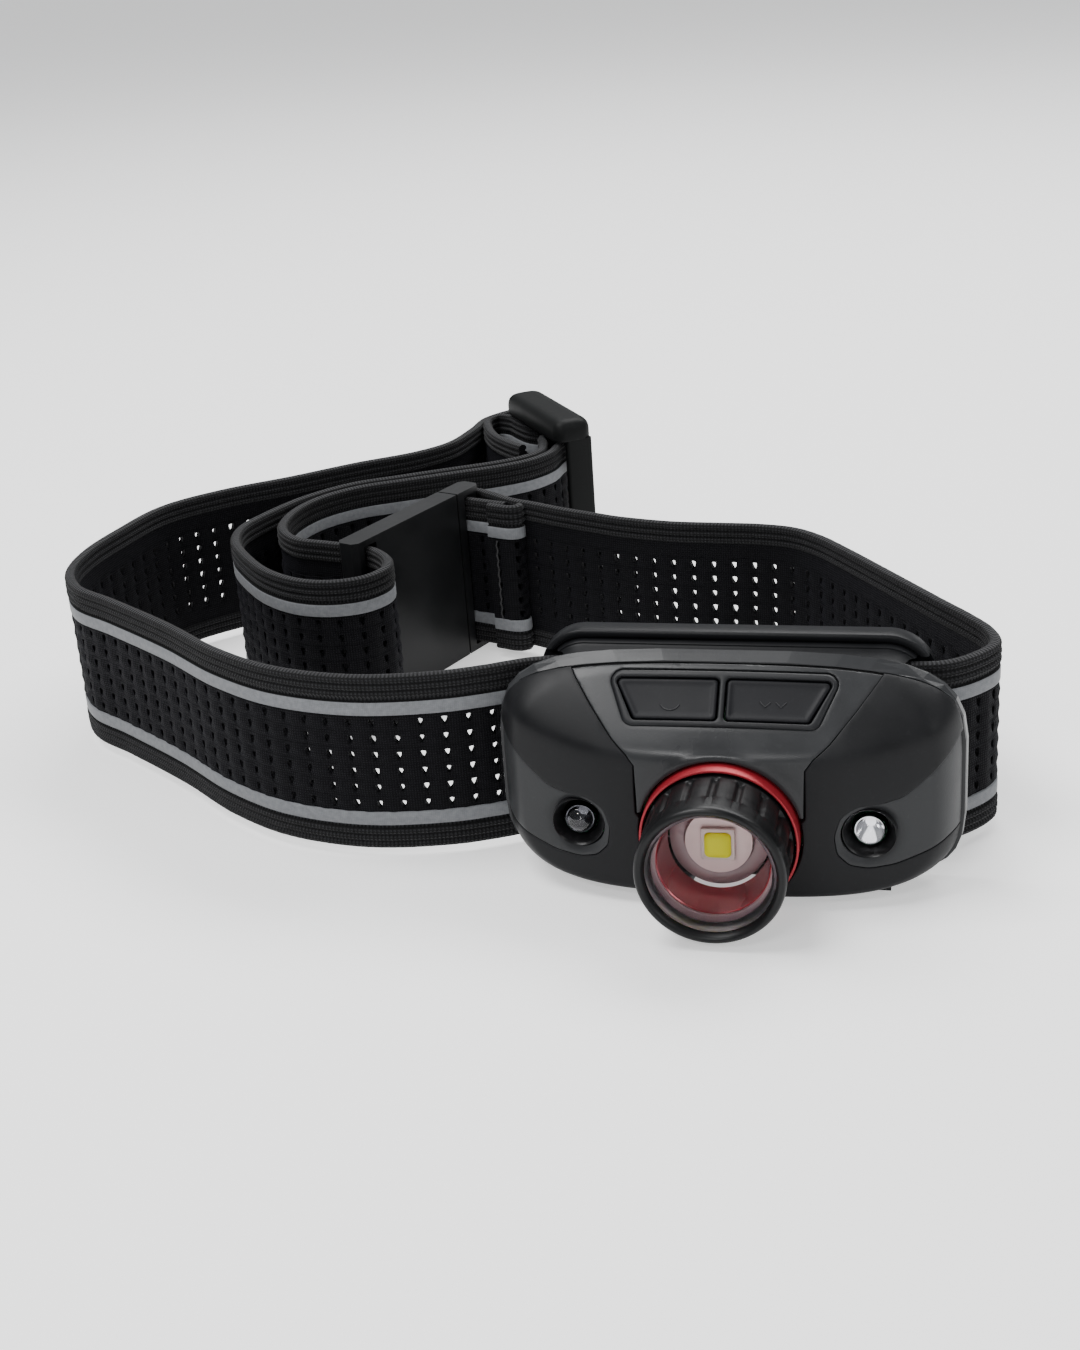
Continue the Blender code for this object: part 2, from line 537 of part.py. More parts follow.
housing_rear = outline_prism("housing_rear", 0.0, REAR_FRONT, REAR_BACK,
                             material("rear_grey", SHELL_GREY, 0.45))
combine(housing_rear, dome_form("rear_form", -0.02, 0.0), "INTERSECT")
knuckle = disc("knuckle", KNUCKLE_R, -KNUCKLE_HALF_W, KNUCKLE_HALF_W, centre=TILT_CENTRE,
               axis="x", segments=24, cutter=True)
combine(housing_rear, knuckle, "UNION")
combine(housing_rear, prism("knuckle_web", rectangle(HEAD_Y - 1.2, HEAD_Y + TILT_Y,
                                                     TILT_Z - 2.0, TILT_Z + 2.0),
                            "x", -KNUCKLE_HALF_W, KNUCKLE_HALF_W, cutter=True), "UNION")
combine(housing_rear, outline_prism("rear_cavity", 1.5, REAR_FRONT - 2, REAR_FLOOR, cutter=True))
for side in (-1, 1):
    combine(housing_rear, disc(f"lug_pocket_{side}", KNUCKLE_R + 0.5, KNUCKLE_HALF_W * side,
                               (LUG_X1 + 0.4) * side, centre=TILT_CENTRE, axis="x",
                               segments=24, cutter=True))
combine(housing_rear, disc("knuckle_bore", BORE_R, -20, 20, centre=TILT_CENTRE, axis="x",
                           segments=24, cutter=True))
screw_steel = material("screw_steel", (0.35, 0.35, 0.36), 0.35, 1.0)
screws = []
for i, (sx, sz) in enumerate(screw_sites):
    combine(housing_rear, disc(f"screw_hole_{i}", 1.1, -5.0, 2.0, segments=16,
                               centre=(sx, HEAD_Y, sz), cutter=True))
    combine(housing_rear, disc(f"screw_sink_{i}", 1.9, -1.2, 2.0, segments=20,
                               centre=(sx, HEAD_Y, sz), cutter=True))
    screws.append(turned(f"screw_{i + 1}", [(0.001, -5.3), (0.8, -5.3), (0.8, -0.9),
                                            (1.5, -0.9), (1.5, -0.55), (0.6, -0.55),
                                            (0.6, -0.75), (0.001, -0.75)],
                         screw_steel, 12, centre=(sx, HEAD_Y, sz)))

gasket = outline_prism("gasket", 1.8, REAR_FRONT + 0.05, REAR_FLOOR - GAP,
                       material("gasket_rubber", (0.02, 0.02, 0.02), 0.8))
combine(gasket, outline_prism("gasket_window", 2.9, -6.0, 0.0, cutter=True))

# ---------------------------------------------------------------- light engine inside the head
metal = material("heatsink_alloy", (0.55, 0.55, 0.56), 0.4, 1.0)
board_green = material("board_green", (0.01, 0.09, 0.03), 0.5)
heat_sink = turned("heat_sink", [(0.001, -6.9), (7.4, -6.9), (7.4, -10.4), (4.6, -10.4),
                                 (4.6, LED_BOARD_Y + 1.0 + GAP), (0.001, LED_BOARD_Y + 1.0 + GAP)],
                   metal, 32)
led_board = disc("led_board", 4.75, LED_BOARD_Y, LED_BOARD_Y + 1.0,
                 material("board_white", (0.75, 0.72, 0.68), 0.5))
main_led = prism("main_led", rounded(-LED_HALF, LED_HALF, BARREL_Z - LED_HALF,
                                     BARREL_Z + LED_HALF, 0.5, 3), "y",
                 HEAD_Y + LED_BOARD_Y - GAP - 1.0, HEAD_Y + LED_BOARD_Y - GAP,
                 material("chip_yellow", (0.75, 0.7, 0.03), 0.4))
control_board = prism("control_board", rounded(-24.0, 24.0, 7.4, 23.0, 1.5, 3), "y",
                      HEAD_Y - 6.6, HEAD_Y - 5.6, board_green)
battery = prism("battery", rounded(-23.0, 23.0, 6.4, 23.4, 2.0, 3), "y", HEAD_Y - 5.2,
                HEAD_Y - 2.2, material("battery_foil", (0.45, 0.46, 0.48), 0.35, 0.6))
RING_BORE_R = BARREL_R + 0.35
red_ring = turned("red_ring", [(RING_BORE_R, RING_BACK), (RING_BORE_R, RING_FRONT + 0.1),
                               (RING_BORE_R + 0.1, RING_FRONT), (RING_R - 0.15, RING_FRONT),
                               (RING_R, RING_FRONT + 0.15), (RING_R, RING_BACK)],
                  material("anodised_red", RED, 0.3, 0.7), 64)
side_leds, reflectors = [], []
DOME_Y = -9.6                   # centre of the round nose of each side light
led_clear = material("led_clear", (0.75, 0.77, 0.8), 0.1)
for label, x_led in (("left", -SIDE_LED_X), ("right", SIDE_LED_X)):
    site = (x_led, HEAD_Y, SIDE_LED_Z)
    reflectors.append(turned(f"led_reflector_{label}",
                             [(SIDE_LED_R + 0.35, CUP_BACK), (CUP_R - 0.3, CUP_FRONT),
                              (CUP_R, CUP_FRONT), (CUP_R, CUP_BACK)],
                             material(f"reflector_{label}", BLACK, 0.35), 28, centre=site))
    dome = [(0.001, DOME_Y - SIDE_LED_R)] + [(SIDE_LED_R * math.sin(math.radians(a)),
                                              DOME_Y - SIDE_LED_R * math.cos(math.radians(a)))
                                             for a in (22.5, 45, 67.5, 90)]
    side_leds.append(turned(f"side_led_{label}", dome + [(SIDE_LED_R, -7.2), (0.001, -7.2)],
                            led_clear, 20, centre=site))

# ---------------------------------------------------------------- focusing barrel
RIBS = 18
RIB_DEPTH = 0.35


def ribbed_radius(angle):
    return BARREL_R - RIB_DEPTH * (0.5 - 0.5 * math.cos(RIBS * angle)) ** 0.7


# radius, distance in front of HEAD_Y and whether the ribs run through it
BARREL_PROFILE = [(8.95, BARREL_BACK, False), (10.7, BARREL_BACK, False),
                  (BARREL_R, BARREL_BACK - 0.3, False), (BARREL_R, RING_FRONT - 0.2, False),
                  (BARREL_R, RING_FRONT - 0.6, True), (BARREL_R, -22.0, True),
                  (BARREL_R, -22.4, False), (BARREL_R, BARREL_FRONT + 0.8, False),
                  (10.5, BARREL_FRONT, False), (9.95, BARREL_FRONT, False),
                  (9.75, BARREL_FRONT + 0.7, False), (9.75, BARREL_FRONT + 4.6, False),
                  (8.95, BARREL_FRONT + 4.6, False)]
barrel_rings = []
for i in range(RIBS * 3):
    angle = 2 * math.pi * i / (RIBS * 3)
    ring = []
    for radius, depth, ribbed in BARREL_PROFILE:
        r = ribbed_radius(angle) if ribbed else radius
        ring.append((r * math.cos(angle), HEAD_Y + depth, BARREL_Z + r * math.sin(angle)))
    barrel_rings.append(ring)
focus_bezel = solid("focus_bezel", *loft(barrel_rings, wrap=True),
                    material("bezel_black", BLACK, 0.4))
SLEEVE_BACK, SLEEVE_FRONT = BARREL_FRONT + 10.6, BARREL_FRONT + 5.0
focus_sleeve = turned("focus_sleeve", [(7.9, SLEEVE_BACK), (8.6, SLEEVE_BACK),
                                       (8.6, SLEEVE_FRONT), (7.9, SLEEVE_FRONT)],
                      material("sleeve_red", RED, 0.3, 0.7), 40)
LENS_R, LENS_BULGE = 9.35, 2.3
LENS_BACK, LENS_CENTRE = BARREL_FRONT + 4.2, BARREL_FRONT + 3.7
lens_profile = ([(0.001, LENS_CENTRE - LENS_BULGE)]
                + [(LENS_R * math.sin(math.radians(a)),
                    LENS_CENTRE - LENS_BULGE * math.cos(math.radians(a)))
                   for a in (20, 40, 58, 74)]
                + [(LENS_R, LENS_CENTRE - 0.2), (LENS_R, LENS_BACK), (0.001, LENS_BACK)])
lens = turned("lens", lens_profile, material("lens_clear", (0.9, 0.9, 0.92), 0.03), 40)
lens_retainer = turned("lens_retainer", [(8.9, BARREL_FRONT + 2.5), (9.4, BARREL_FRONT + 0.9),
                                         (9.4, BARREL_FRONT + 2.7)],
                       material("retainer_dark", (0.06, 0.06, 0.065), 0.25), 40)

# ---------------------------------------------------------------- buttons and switches
button_bezel = brow_block("button_bezel", button_opening, 0.35, -0.9,
                          material("border_grey", (0.03, 0.03, 0.032), 0.45))
BORDER, DIVIDER = 1.0, 0.4
inner_t = BUTTON_HALF_T - BORDER
for side in (-1, 1):
    window = trapezoid(*sorted((DIVIDER * side, (BUTTON_TOP_X - 1.2) * side)),
                       *sorted((DIVIDER * side, (BUTTON_LOW_X - 1.1) * side)), inner_t)
    combine(button_bezel, brow_block(f"button_window_{side}", window, 4.0, -4.0, cutter=True))
buttons, switches = [], []
for label, side in (("button_power", -1), ("button_mode", 1)):
    cap = trapezoid(*sorted(((DIVIDER + GAP) * side, (BUTTON_TOP_X - 1.2 - GAP) * side)),
                    *sorted(((DIVIDER + GAP) * side, (BUTTON_LOW_X - 1.1 - GAP) * side)),
                    inner_t - GAP)
    button = brow_block(label, cap, 0.15, -1.6, material(f"{label}_black", BLACK, 0.5))
    stem = brow_block(f"{label}_stem", rounded(*sorted((6.0 * side, 9.0 * side)), -2.4, 0.4, 0.8,
                                               2), -1.2, -2.6, cutter=True)
    combine(button, stem, "UNION")
    buttons.append(button)
    switches.append(brow_block(f"switch_{label[7:]}",
                               rectangle(*sorted((5.8 * side, 9.2 * side)), -2.6, 0.6),
                               -3.5, -4.8, material(f"{label}_switch", (0.6, 0.6, 0.58), 0.4,
                                                    0.5)))
switch_board = brow_block("switch_board", rectangle(-12.0, 12.0, -3.0, 0.9), -5.1, -5.8,
                          board_green)

# ---------------------------------------------------------------- charging port on the underside
PORT_X0, PORT_X1 = 15.2, 24.6
PORT_Y0, PORT_Y1 = HEAD_Y - 7.6, HEAD_Y - 3.6
port_recess = prism("port_recess", rectangle(PORT_X0 - GAP, PORT_X1 + GAP, PORT_Y0 - GAP,
                                             PORT_Y1 + GAP), "z", -3.0, 2.05, cutter=True)
port_hole = prism("port_hole", rectangle(PORT_X0 + 0.4, PORT_X1 - 0.4, PORT_Y0 + 0.4,
                                         PORT_Y1 - 0.4), "z", -3.0, 5.2, cutter=True)
combine(head_parts[1], port_recess)
combine(head_parts[1], port_hole)
combine(housing_front, port_hole)
combine(housing_front, well_cutter)
port_cover = prism("port_cover", rectangle(PORT_X0, PORT_X1, PORT_Y0, PORT_Y1), "z", 0.75, 1.75,
                   material("cover_rubber", SOFT_BLACK, 0.6))
PORT_AXIS = (PORT_Y1 - 0.5, 1.25)
set_origin(port_cover, 0.0, *PORT_AXIS)
charge_port = prism("charge_port", rounded(PORT_X0 + 0.8, PORT_X1 - 0.8, PORT_Y0 + 0.8,
                                           PORT_Y1 - 0.8, 1.0, 3), "z", 2.4, 4.9,
                    material("port_steel", (0.6, 0.6, 0.6), 0.3, 1.0))

# ---------------------------------------------------------------- assembly
tilt_axis = axis_empty("tilt_axis", 0.0, HEAD_Y + TILT_Y, TILT_Z)
focus_axis = axis_empty("focus_axis", 0.0, HEAD_Y + BARREL_BACK, BARREL_Z)
hang_on(focus_axis, focus_bezel, focus_sleeve, lens, lens_retainer)
hang_on(tilt_axis, housing_front, housing_rear, gasket, heat_sink, led_board, main_led,
        control_board, battery, red_ring, button_bezel, switch_board, charge_port, port_cover,
        focus_axis, *head_parts, *screws, *side_leds, *reflectors, *buttons, *switches)
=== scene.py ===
"""Looks for the headlamp: knitted band, moulded head shells, barrel, lens, bracket and buckle."""

import math

import bmesh
import bpy
import numpy as np
from mathutils import Matrix, Vector, geometry


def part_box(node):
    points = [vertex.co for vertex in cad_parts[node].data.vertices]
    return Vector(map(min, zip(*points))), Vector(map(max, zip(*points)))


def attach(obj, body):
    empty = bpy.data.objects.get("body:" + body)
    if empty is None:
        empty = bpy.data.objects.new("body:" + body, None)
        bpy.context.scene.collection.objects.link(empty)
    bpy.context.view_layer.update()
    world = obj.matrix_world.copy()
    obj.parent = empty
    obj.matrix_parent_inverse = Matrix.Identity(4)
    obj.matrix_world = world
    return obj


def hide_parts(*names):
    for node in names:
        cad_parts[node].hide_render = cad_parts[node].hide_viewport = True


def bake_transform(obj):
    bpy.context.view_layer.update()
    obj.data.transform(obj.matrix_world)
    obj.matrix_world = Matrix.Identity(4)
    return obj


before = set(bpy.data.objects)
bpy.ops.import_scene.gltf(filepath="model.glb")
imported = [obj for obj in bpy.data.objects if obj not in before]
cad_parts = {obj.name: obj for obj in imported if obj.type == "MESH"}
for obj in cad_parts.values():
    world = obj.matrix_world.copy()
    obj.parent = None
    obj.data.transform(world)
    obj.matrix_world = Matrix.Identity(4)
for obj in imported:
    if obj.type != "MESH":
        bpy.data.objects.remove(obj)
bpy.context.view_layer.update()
MM = 0.001

CELL = 3.8                 # pitch of the hole columns along the band
SUB = 12                   # steps of the edge binding for each cell

# ------------------------------------------------------------------ camera and light
FOCAL = 51.28
EYE = (0.0356, -0.2710, 0.1476)
GAZE = Vector((-0.2190, 0.8918, -0.3959))
CAMERA_ROLL = math.radians(-4.2)
cam_data = bpy.data.cameras.new("camera")
cam_data.lens = FOCAL
cam_data.sensor_width = 36.0
cam_data.clip_start = 0.01
camera = bpy.data.objects.new("camera", cam_data)
bpy.context.scene.collection.objects.link(camera)
turn = GAZE.to_track_quat("-Z", "Y").to_matrix().to_4x4() @ Matrix.Rotation(CAMERA_ROLL, 4, "Z")
camera.matrix_world = Matrix.Translation(EYE) @ turn
bpy.context.scene.camera = camera


def link(ob):
    bpy.context.scene.collection.objects.link(ob)
    return ob


def area_light(name, place, target, size, power):
    data = bpy.data.lights.new(name, "AREA")
    data.shape = "RECTANGLE"
    data.size, data.size_y = size
    data.energy = power
    ob = link(bpy.data.objects.new(name, data))
    ob.location = place
    ob.rotation_euler = (Vector(target) - Vector(place)).to_track_quat("-Z", "Y").to_euler()


area_light("key", (-0.36, -0.08, 0.86), (-0.03, 0.01, 0.02), (0.50, 0.40), 10.5)
area_light("top", (0.15, 0.55, 0.75), (-0.03, 0.03, 0.0), (0.9, 0.35), 11.0)
area_light("fill", (0.75, -0.35, 0.45), (0.0, 0.02, 0.02), (0.35, 0.45), 2.2)
area_light("crest", (-0.16, -0.66, 0.58), (0.0, -0.02, 0.025), (0.30, 0.04), 2.6)
area_light("window", (0.10, -0.80, 0.16), (0.0, 0.0, 0.015), (0.16, 0.20), 0.5)
world = bpy.data.worlds.new("studio")
world.use_nodes = True
sky = world.node_tree.nodes["Background"]
sky.inputs["Color"].default_value = (0.95, 0.97, 1.0, 1)
sky.inputs["Strength"].default_value = 0.38
bpy.context.scene.world = world


# ------------------------------------------------------------------ materials
def nodes_of(name):
    mat = bpy.data.materials.new(name)
    mat.use_nodes = True
    return mat, mat.node_tree.nodes, mat.node_tree.nodes["Principled BSDF"]


def add(nodes, kind, **values):
    node = nodes.new("ShaderNode" + kind)
    for key, value in values.items():
        if hasattr(node, key):
            setattr(node, key, value)
        else:
            node.inputs[key.replace("_", " ")].default_value = value
    return node


def feed(source, out, target, into):
    """Join an output of one shader node to an input of another."""
    source.id_data.links.new(source.outputs[out], target.inputs[into])


def set_surface(shader, **values):
    for key, value in values.items():
        shader.inputs[key.replace("_", " ")].default_value = value


def noise(nodes, scale, detail, rough=0.5):
    return add(nodes, "TexNoise", Scale=scale, Detail=detail, Roughness=rough)


def emboss(nodes, shader, source, out, strength, distance):
    bump = add(nodes, "Bump", Strength=strength, Distance=distance * MM)
    feed(source, out, bump, "Height")
    feed(bump, "Normal", shader, "Normal")


def two_tone(nodes, low_at, low, high_at, high):
    ramp = add(nodes, "ValToRGB")
    for stop, at, colour in zip(ramp.color_ramp.elements, (low_at, high_at), (low, high)):
        stop.position = at
        stop.color = (*colour, 1)
    return ramp


def mixed(nodes, share, out, base, colour):
    """The base colour with another mixed in where share is high."""
    mix = add(nodes, "MixRGB", blend_type="MIX", Color2=(*colour, 1))
    feed(share, out, mix, "Fac")
    feed(base, "Color", mix, "Color1")
    return mix


def tinted(colour, gain, offset=0.0):
    return tuple(min(1.0, c * gain + offset) for c in colour)


STREAKED = (1.0, 14.0, 1.0)    # stretch of the grain on turned and anodised parts


def moulded(name, colour, rough, grain=0.35, grain_depth=0.02, vary=0.25, metallic=0.0, coat=0.0,
            specular=0.5, streaks=False, sheen=0.0):
    """Moulded, coated or anodised surface: fine grain, uneven gloss, slight dust and edge wear."""
    mat, nodes, shader = nodes_of(name)
    coord = add(nodes, "TexCoord")
    place = add(nodes, "Mapping")
    feed(coord, "Object", place, "Vector")
    if streaks:
        place.inputs["Scale"].default_value = STREAKED
    broad = noise(nodes, 90.0, 4.0, 0.55)
    fine = noise(nodes, 1000.0 / grain, 3.0, 0.6)
    specks = noise(nodes, 1500.0, 1.0, 0.4)
    for tex in (broad, fine, specks):
        feed(place, "Vector", tex, "Vector")
    tone = two_tone(nodes, 0.3, tinted(colour, 1 - vary), 0.72, tinted(colour, 1 + vary, 0.0015))
    feed(broad, "Fac", tone, "Fac")
    dust = two_tone(nodes, 0.66, (0, 0, 0), 0.74, (0.10, 0.10, 0.10))
    feed(specks, "Fac", dust, "Fac")
    dusty = mixed(nodes, dust, "Color", tone, tinted(colour, 1.8, 0.010))
    geo = add(nodes, "NewGeometry")
    edge = add(nodes, "MapRange", From_Min=0.53, From_Max=0.62, To_Max=0.35)
    feed(geo, "Pointiness", edge, "Value")
    worn = mixed(nodes, edge, "Result", dusty, tinted(colour, 1.6, 0.004))
    feed(worn, "Color", shader, "Base Color")
    gloss = add(nodes, "MapRange", From_Min=0.3, From_Max=0.7, To_Min=max(0.02, rough - 0.07),
                To_Max=min(1.0, rough + 0.08))
    feed(broad, "Fac", gloss, "Value")
    feed(gloss, "Result", shader, "Roughness")
    emboss(nodes, shader, fine, "Fac", 0.6, grain_depth)
    set_surface(shader, Metallic=metallic, Coat_Weight=coat, Coat_Roughness=0.12,
                Specular_IOR_Level=specular, Sheen_Weight=sheen, Sheen_Roughness=0.4)
    return mat


def clear(name, colour, rough, ior, haze=0.0):
    """Clear moulding with faint surface waviness."""
    mat, nodes, shader = nodes_of(name)
    coord = add(nodes, "TexCoord")
    wave = noise(nodes, 160.0, 2.0)
    feed(coord, "Object", wave, "Vector")
    span = add(nodes, "MapRange", To_Min=rough, To_Max=rough + 0.05 + haze)
    feed(wave, "Fac", span, "Value")
    feed(span, "Result", shader, "Roughness")
    emboss(nodes, shader, wave, "Fac", 0.15, 0.05)
    set_surface(shader, Base_Color=(*colour, 1), Transmission_Weight=1.0, IOR=ior)
    return mat


def textile(name, colour, pitch, rough=0.85, sheen=0.25, depth=0.12, vary=0.35, cross=1.0,
            sheen_tint=(1, 1, 1), specular=0.14, wander=1.2):
    """Yarn surface laid along the band: crossing ribs of yarn with uneven tone.
    The texture runs in millimetres along and across the band."""
    mat, nodes, shader = nodes_of(name)
    uv = add(nodes, "UVMap")
    uv.uv_map = "band"
    along, across = (add(nodes, "TexWave", wave_type="BANDS", bands_direction=way, Distortion=wander,
                         Scale=1.0 / repeat * 0.314, Detail=1.0, Detail_Scale=2.0)
                     for way, repeat in (("X", pitch), ("Y", pitch * cross)))
    cloudy = noise(nodes, 1.1, 4.0, 0.6)
    fuzz = noise(nodes, 9.0, 3.0, 0.7)
    for tex in (along, across, cloudy, fuzz):
        feed(uv, "UV", tex, "Vector")
    weave = add(nodes, "Math", operation="MULTIPLY")
    feed(along, "Fac", weave, 0)
    feed(across, "Fac", weave, 1)
    height = add(nodes, "Math", operation="MULTIPLY_ADD")
    feed(fuzz, "Fac", height, 0)
    height.inputs[1].default_value = 0.5
    feed(weave, "Value", height, 2)
    tone = two_tone(nodes, 0.2, tinted(colour, 1 - vary), 0.95, tinted(colour, 1 + vary, 0.004))
    feed(height, "Value", tone, "Fac")
    shade = add(nodes, "MixRGB", blend_type="MULTIPLY", Fac=0.5)
    spread = add(nodes, "MapRange", From_Min=0.3, From_Max=0.7, To_Min=0.55, To_Max=1.15)
    feed(cloudy, "Fac", spread, "Value")
    feed(tone, "Color", shade, "Color1")
    feed(spread, "Result", shade, "Color2")
    feed(shade, "Color", shader, "Base Color")
    emboss(nodes, shader, height, "Value", 0.8, depth)
    set_surface(shader, Roughness=rough, Sheen_Weight=sheen, Sheen_Roughness=0.45,
                Sheen_Tint=(*sheen_tint, 1), Specular_IOR_Level=specular)
    return mat


shell_grey = moulded("shell_grey", (0.0190, 0.0197, 0.0210), 0.31, 0.30, 0.020, 0.08, specular=0.20)
panel_grey = moulded("panel_grey", (0.0175, 0.0183, 0.0195), 0.42, 0.30, 0.022, 0.08, specular=0.20)
soft_black = moulded("soft_black", (0.0052, 0.0054, 0.0062), 0.46, 0.22, 0.015, 0.15, specular=0.14)
key_black = moulded("key_black", (0.0040, 0.0042, 0.0056), 0.52, 0.22, 0.018, 0.12, specular=0.16)
border_black = moulded("border_black", (0.0080, 0.0084, 0.0096), 0.44, 0.25, 0.015, 0.12, specular=0.2)
bracket_grey = moulded("bracket_grey", (0.0068, 0.0071, 0.0080), 0.38, 0.40, 0.010, 0.10, specular=0.10)
hard_black = moulded("hard_black", (0.0044, 0.0048, 0.0048), 0.48, 0.30, 0.012, 0.15, specular=0.08)
buckle_black = moulded("buckle_black", (0.0045, 0.0047, 0.0052), 0.38, 0.35, 0.010, 0.12, specular=0.22)
cup_black = moulded("cup_black", (0.0050, 0.0050, 0.0055), 0.32, 0.30, 0.008, 0.12, specular=0.25)
bezel_black = moulded("bezel_black", (0.0032, 0.0033, 0.0037), 0.36, 0.25, 0.006, 0.10, metallic=0.05,
                      streaks=True, specular=0.20)
ring_red = moulded("ring_red", (0.25, 0.010, 0.018), 0.36, 0.30, 0.005, 0.10, metallic=0.45,
                   streaks=True)
sleeve_red = moulded("sleeve_red", (0.27, 0.014, 0.026), 0.14, 0.30, 0.004, 0.10, metallic=0.35,
                     coat=0.8)
steel = moulded("steel", (0.50, 0.50, 0.51), 0.32, 0.20, 0.006, 0.10, metallic=1.0, streaks=True)
alloy = moulded("alloy", (0.50, 0.36, 0.35), 0.38, 0.30, 0.006, 0.06, metallic=0.25)
seat_pink = moulded("seat_pink", (0.20, 0.135, 0.14), 0.30, 0.30, 0.006, 0.06, coat=0.3)
board_white = moulded("board_white", (0.62, 0.54, 0.51), 0.38, 0.25, 0.006, 0.05)
board_green = moulded("board_green", (0.012, 0.10, 0.035), 0.40, 0.30, 0.010, 0.2)
foil = moulded("foil", (0.46, 0.47, 0.49), 0.34, 0.60, 0.020, 0.10, metallic=0.7)
phosphor = moulded("phosphor", (0.66, 0.74, 0.002), 0.45, 0.25, 0.010, 0.06, specular=0.1)
# painted shade: a darker copy of the reflector metal, standing in for the shade on the left side light's
# cone
steel_shaded = moulded("steel_shaded", (0.10, 0.10, 0.11), 0.18, 0.20, 0.006, 0.2, metallic=1.0)
led_body = moulded("led_body", (0.50, 0.46, 0.42), 0.40, 0.25, 0.006, 0.08)
seal_black = moulded("seal_black", (0.015, 0.015, 0.016), 0.75, 0.20, 0.010, 0.2)
foam_black = moulded("foam_black", (0.010, 0.010, 0.012), 0.88, 0.50, 0.090, 0.3, sheen=0.1)
silver = moulded("silver", (0.85, 0.85, 0.86), 0.10, 0.30, 0.003, 0.04, metallic=1.0)
lens_clear = clear("lens_clear", (0.96, 0.90, 0.91), 0.01, 1.12)
rim_clear = clear("rim_clear", (0.55, 0.55, 0.60), 0.35, 1.30, 0.1)
epoxy_clear = clear("epoxy_clear", (0.96, 0.97, 1.0), 0.01, 1.45)
knit = textile("knit", (0.0028, 0.0028, 0.0037), 0.42, 0.70, 0.02, 0.14, 0.4, 1.0,
               (0.6, 0.6, 0.75), 0.06)
stripe = textile("stripe", (0.140, 0.145, 0.153), 0.30, 0.55, 0.04, 0.02, 0.06)
binding = textile("binding", (0.0092, 0.0093, 0.0104), CELL / SUB * 2, 0.75, 0.06, 0.22, 0.80, 0.9,
                  specular=0.14, wander=0.3)
thread = moulded("thread", (0.013, 0.013, 0.014), 0.80, 0.15, 0.030, 0.3, sheen=0.1)


# ------------------------------------------------------------------ meshes
def put(name, points, faces, mats, face_mats=None, sharp=None, uvs=None):
    mesh = bpy.data.meshes.new(name)
    mesh.from_pydata([tuple(MM * float(c) for c in p) for p in points], [], faces)
    for mat in (mats if isinstance(mats, (list, tuple)) else [mats]):
        mesh.materials.append(mat)
    if face_mats is not None:
        mesh.polygons.foreach_set("material_index", np.asarray(face_mats, np.int32))
    mesh.update()
    mesh.shade_smooth()
    if uvs is not None:
        layer = mesh.uv_layers.new(name="band")
        loops = np.empty(len(mesh.loops), np.int32)
        mesh.loops.foreach_get("vertex_index", loops)
        layer.data.foreach_set("uv", np.asarray(uvs, np.float32)[loops].ravel())
    if sharp is not None:
        mesh.set_sharp_from_angle(angle=math.radians(sharp))
    return link(bpy.data.objects.new(name, mesh))


def outward(ob):
    bm = bmesh.new()
    bm.from_mesh(ob.data)
    bmesh.ops.recalc_face_normals(bm, faces=bm.faces)
    bm.to_mesh(ob.data)
    bm.free()
    return ob


def loft(rings, wrap=False):
    """Faces between equal rings, closed into a ring of rings or capped at both ends."""
    count = len(rings[0])
    points = [p for ring in rings for p in ring]
    faces = []
    for i in range(len(rings) if wrap else len(rings) - 1):
        a, b = i * count, ((i + 1) % len(rings)) * count
        for j in range(count):
            k = (j + 1) % count
            faces.append((a + j, a + k, b + k, b + j))
    if not wrap:
        faces.append(tuple(range(count))[::-1])
        faces.append(tuple(range(len(points) - count, len(points))))
    return points, faces


def lofted(name, rings, mat, sharp=None):
    return outward(put(name, *loft(rings), mat, sharp=sharp))


def turned(name, profile, centre, mat, segments=96, sharp=35, radius=None):
    """A closed profile of (radius, distance) turned about Y; radius may vary it by angle."""
    rings = []
    for i in range(segments):
        angle = 2 * math.pi * i / segments
        ring = []
        for r, d in profile:
            r = radius(angle, r, d) if radius else r
            ring.append((centre[0] + r * math.cos(angle), centre[1] + d,
                         centre[2] + r * math.sin(angle)))
        rings.append(ring)
    return outward(put(name, *loft(rings, wrap=True), mat, sharp=sharp))


def bevelled(ob, width, segments=3, angle=32):
    flat = ob.modifiers.new("flat", "DECIMATE")
    flat.decimate_type = "DISSOLVE"
    flat.angle_limit = math.radians(0.6)
    mod = ob.modifiers.new("edges", "BEVEL")
    mod.width = width * MM
    mod.segments = segments
    mod.limit_method = "ANGLE"
    mod.angle_limit = math.radians(angle)
    mod.use_clamp_overlap = True
    mod.harden_normals = False
    return ob


def cad(node, mat, width=None, segments=3, angle=32):
    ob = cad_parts[node]
    ob.data.materials.clear()
    ob.data.materials.append(mat)
    ob.data.shade_smooth()
    ob.data.set_sharp_from_angle(angle=math.radians(35))
    if width:
        bevelled(ob, width, segments, angle)
    return ob


def rounded(u0, u1, v0, v1, radius, steps=6):
    """Outline of a rectangle with rounded corners."""
    points = []
    for cu, cv, start_angle in ((u1 - radius, v0 + radius, -90), (u1 - radius, v1 - radius, 0),
                                (u0 + radius, v1 - radius, 90), (u0 + radius, v0 + radius, 180)):
        for i in range(steps + 1):
            a = math.radians(start_angle + 90 * i / steps)
            points.append((cu + radius * math.cos(a), cv + radius * math.sin(a)))
    return points


def arc(cx, cz, r, start, end, count):
    """Points on an arc between two angles in degrees, both ends included."""
    return [(cx + r * math.cos(a), cz + r * math.sin(a))
            for a in np.linspace(math.radians(start), math.radians(end), count)]


def circle(cx, cz, r, count):
    return [(cx + r * math.cos(2 * math.pi * i / count), cz + r * math.sin(2 * math.pi * i / count))
            for i in range(count)]


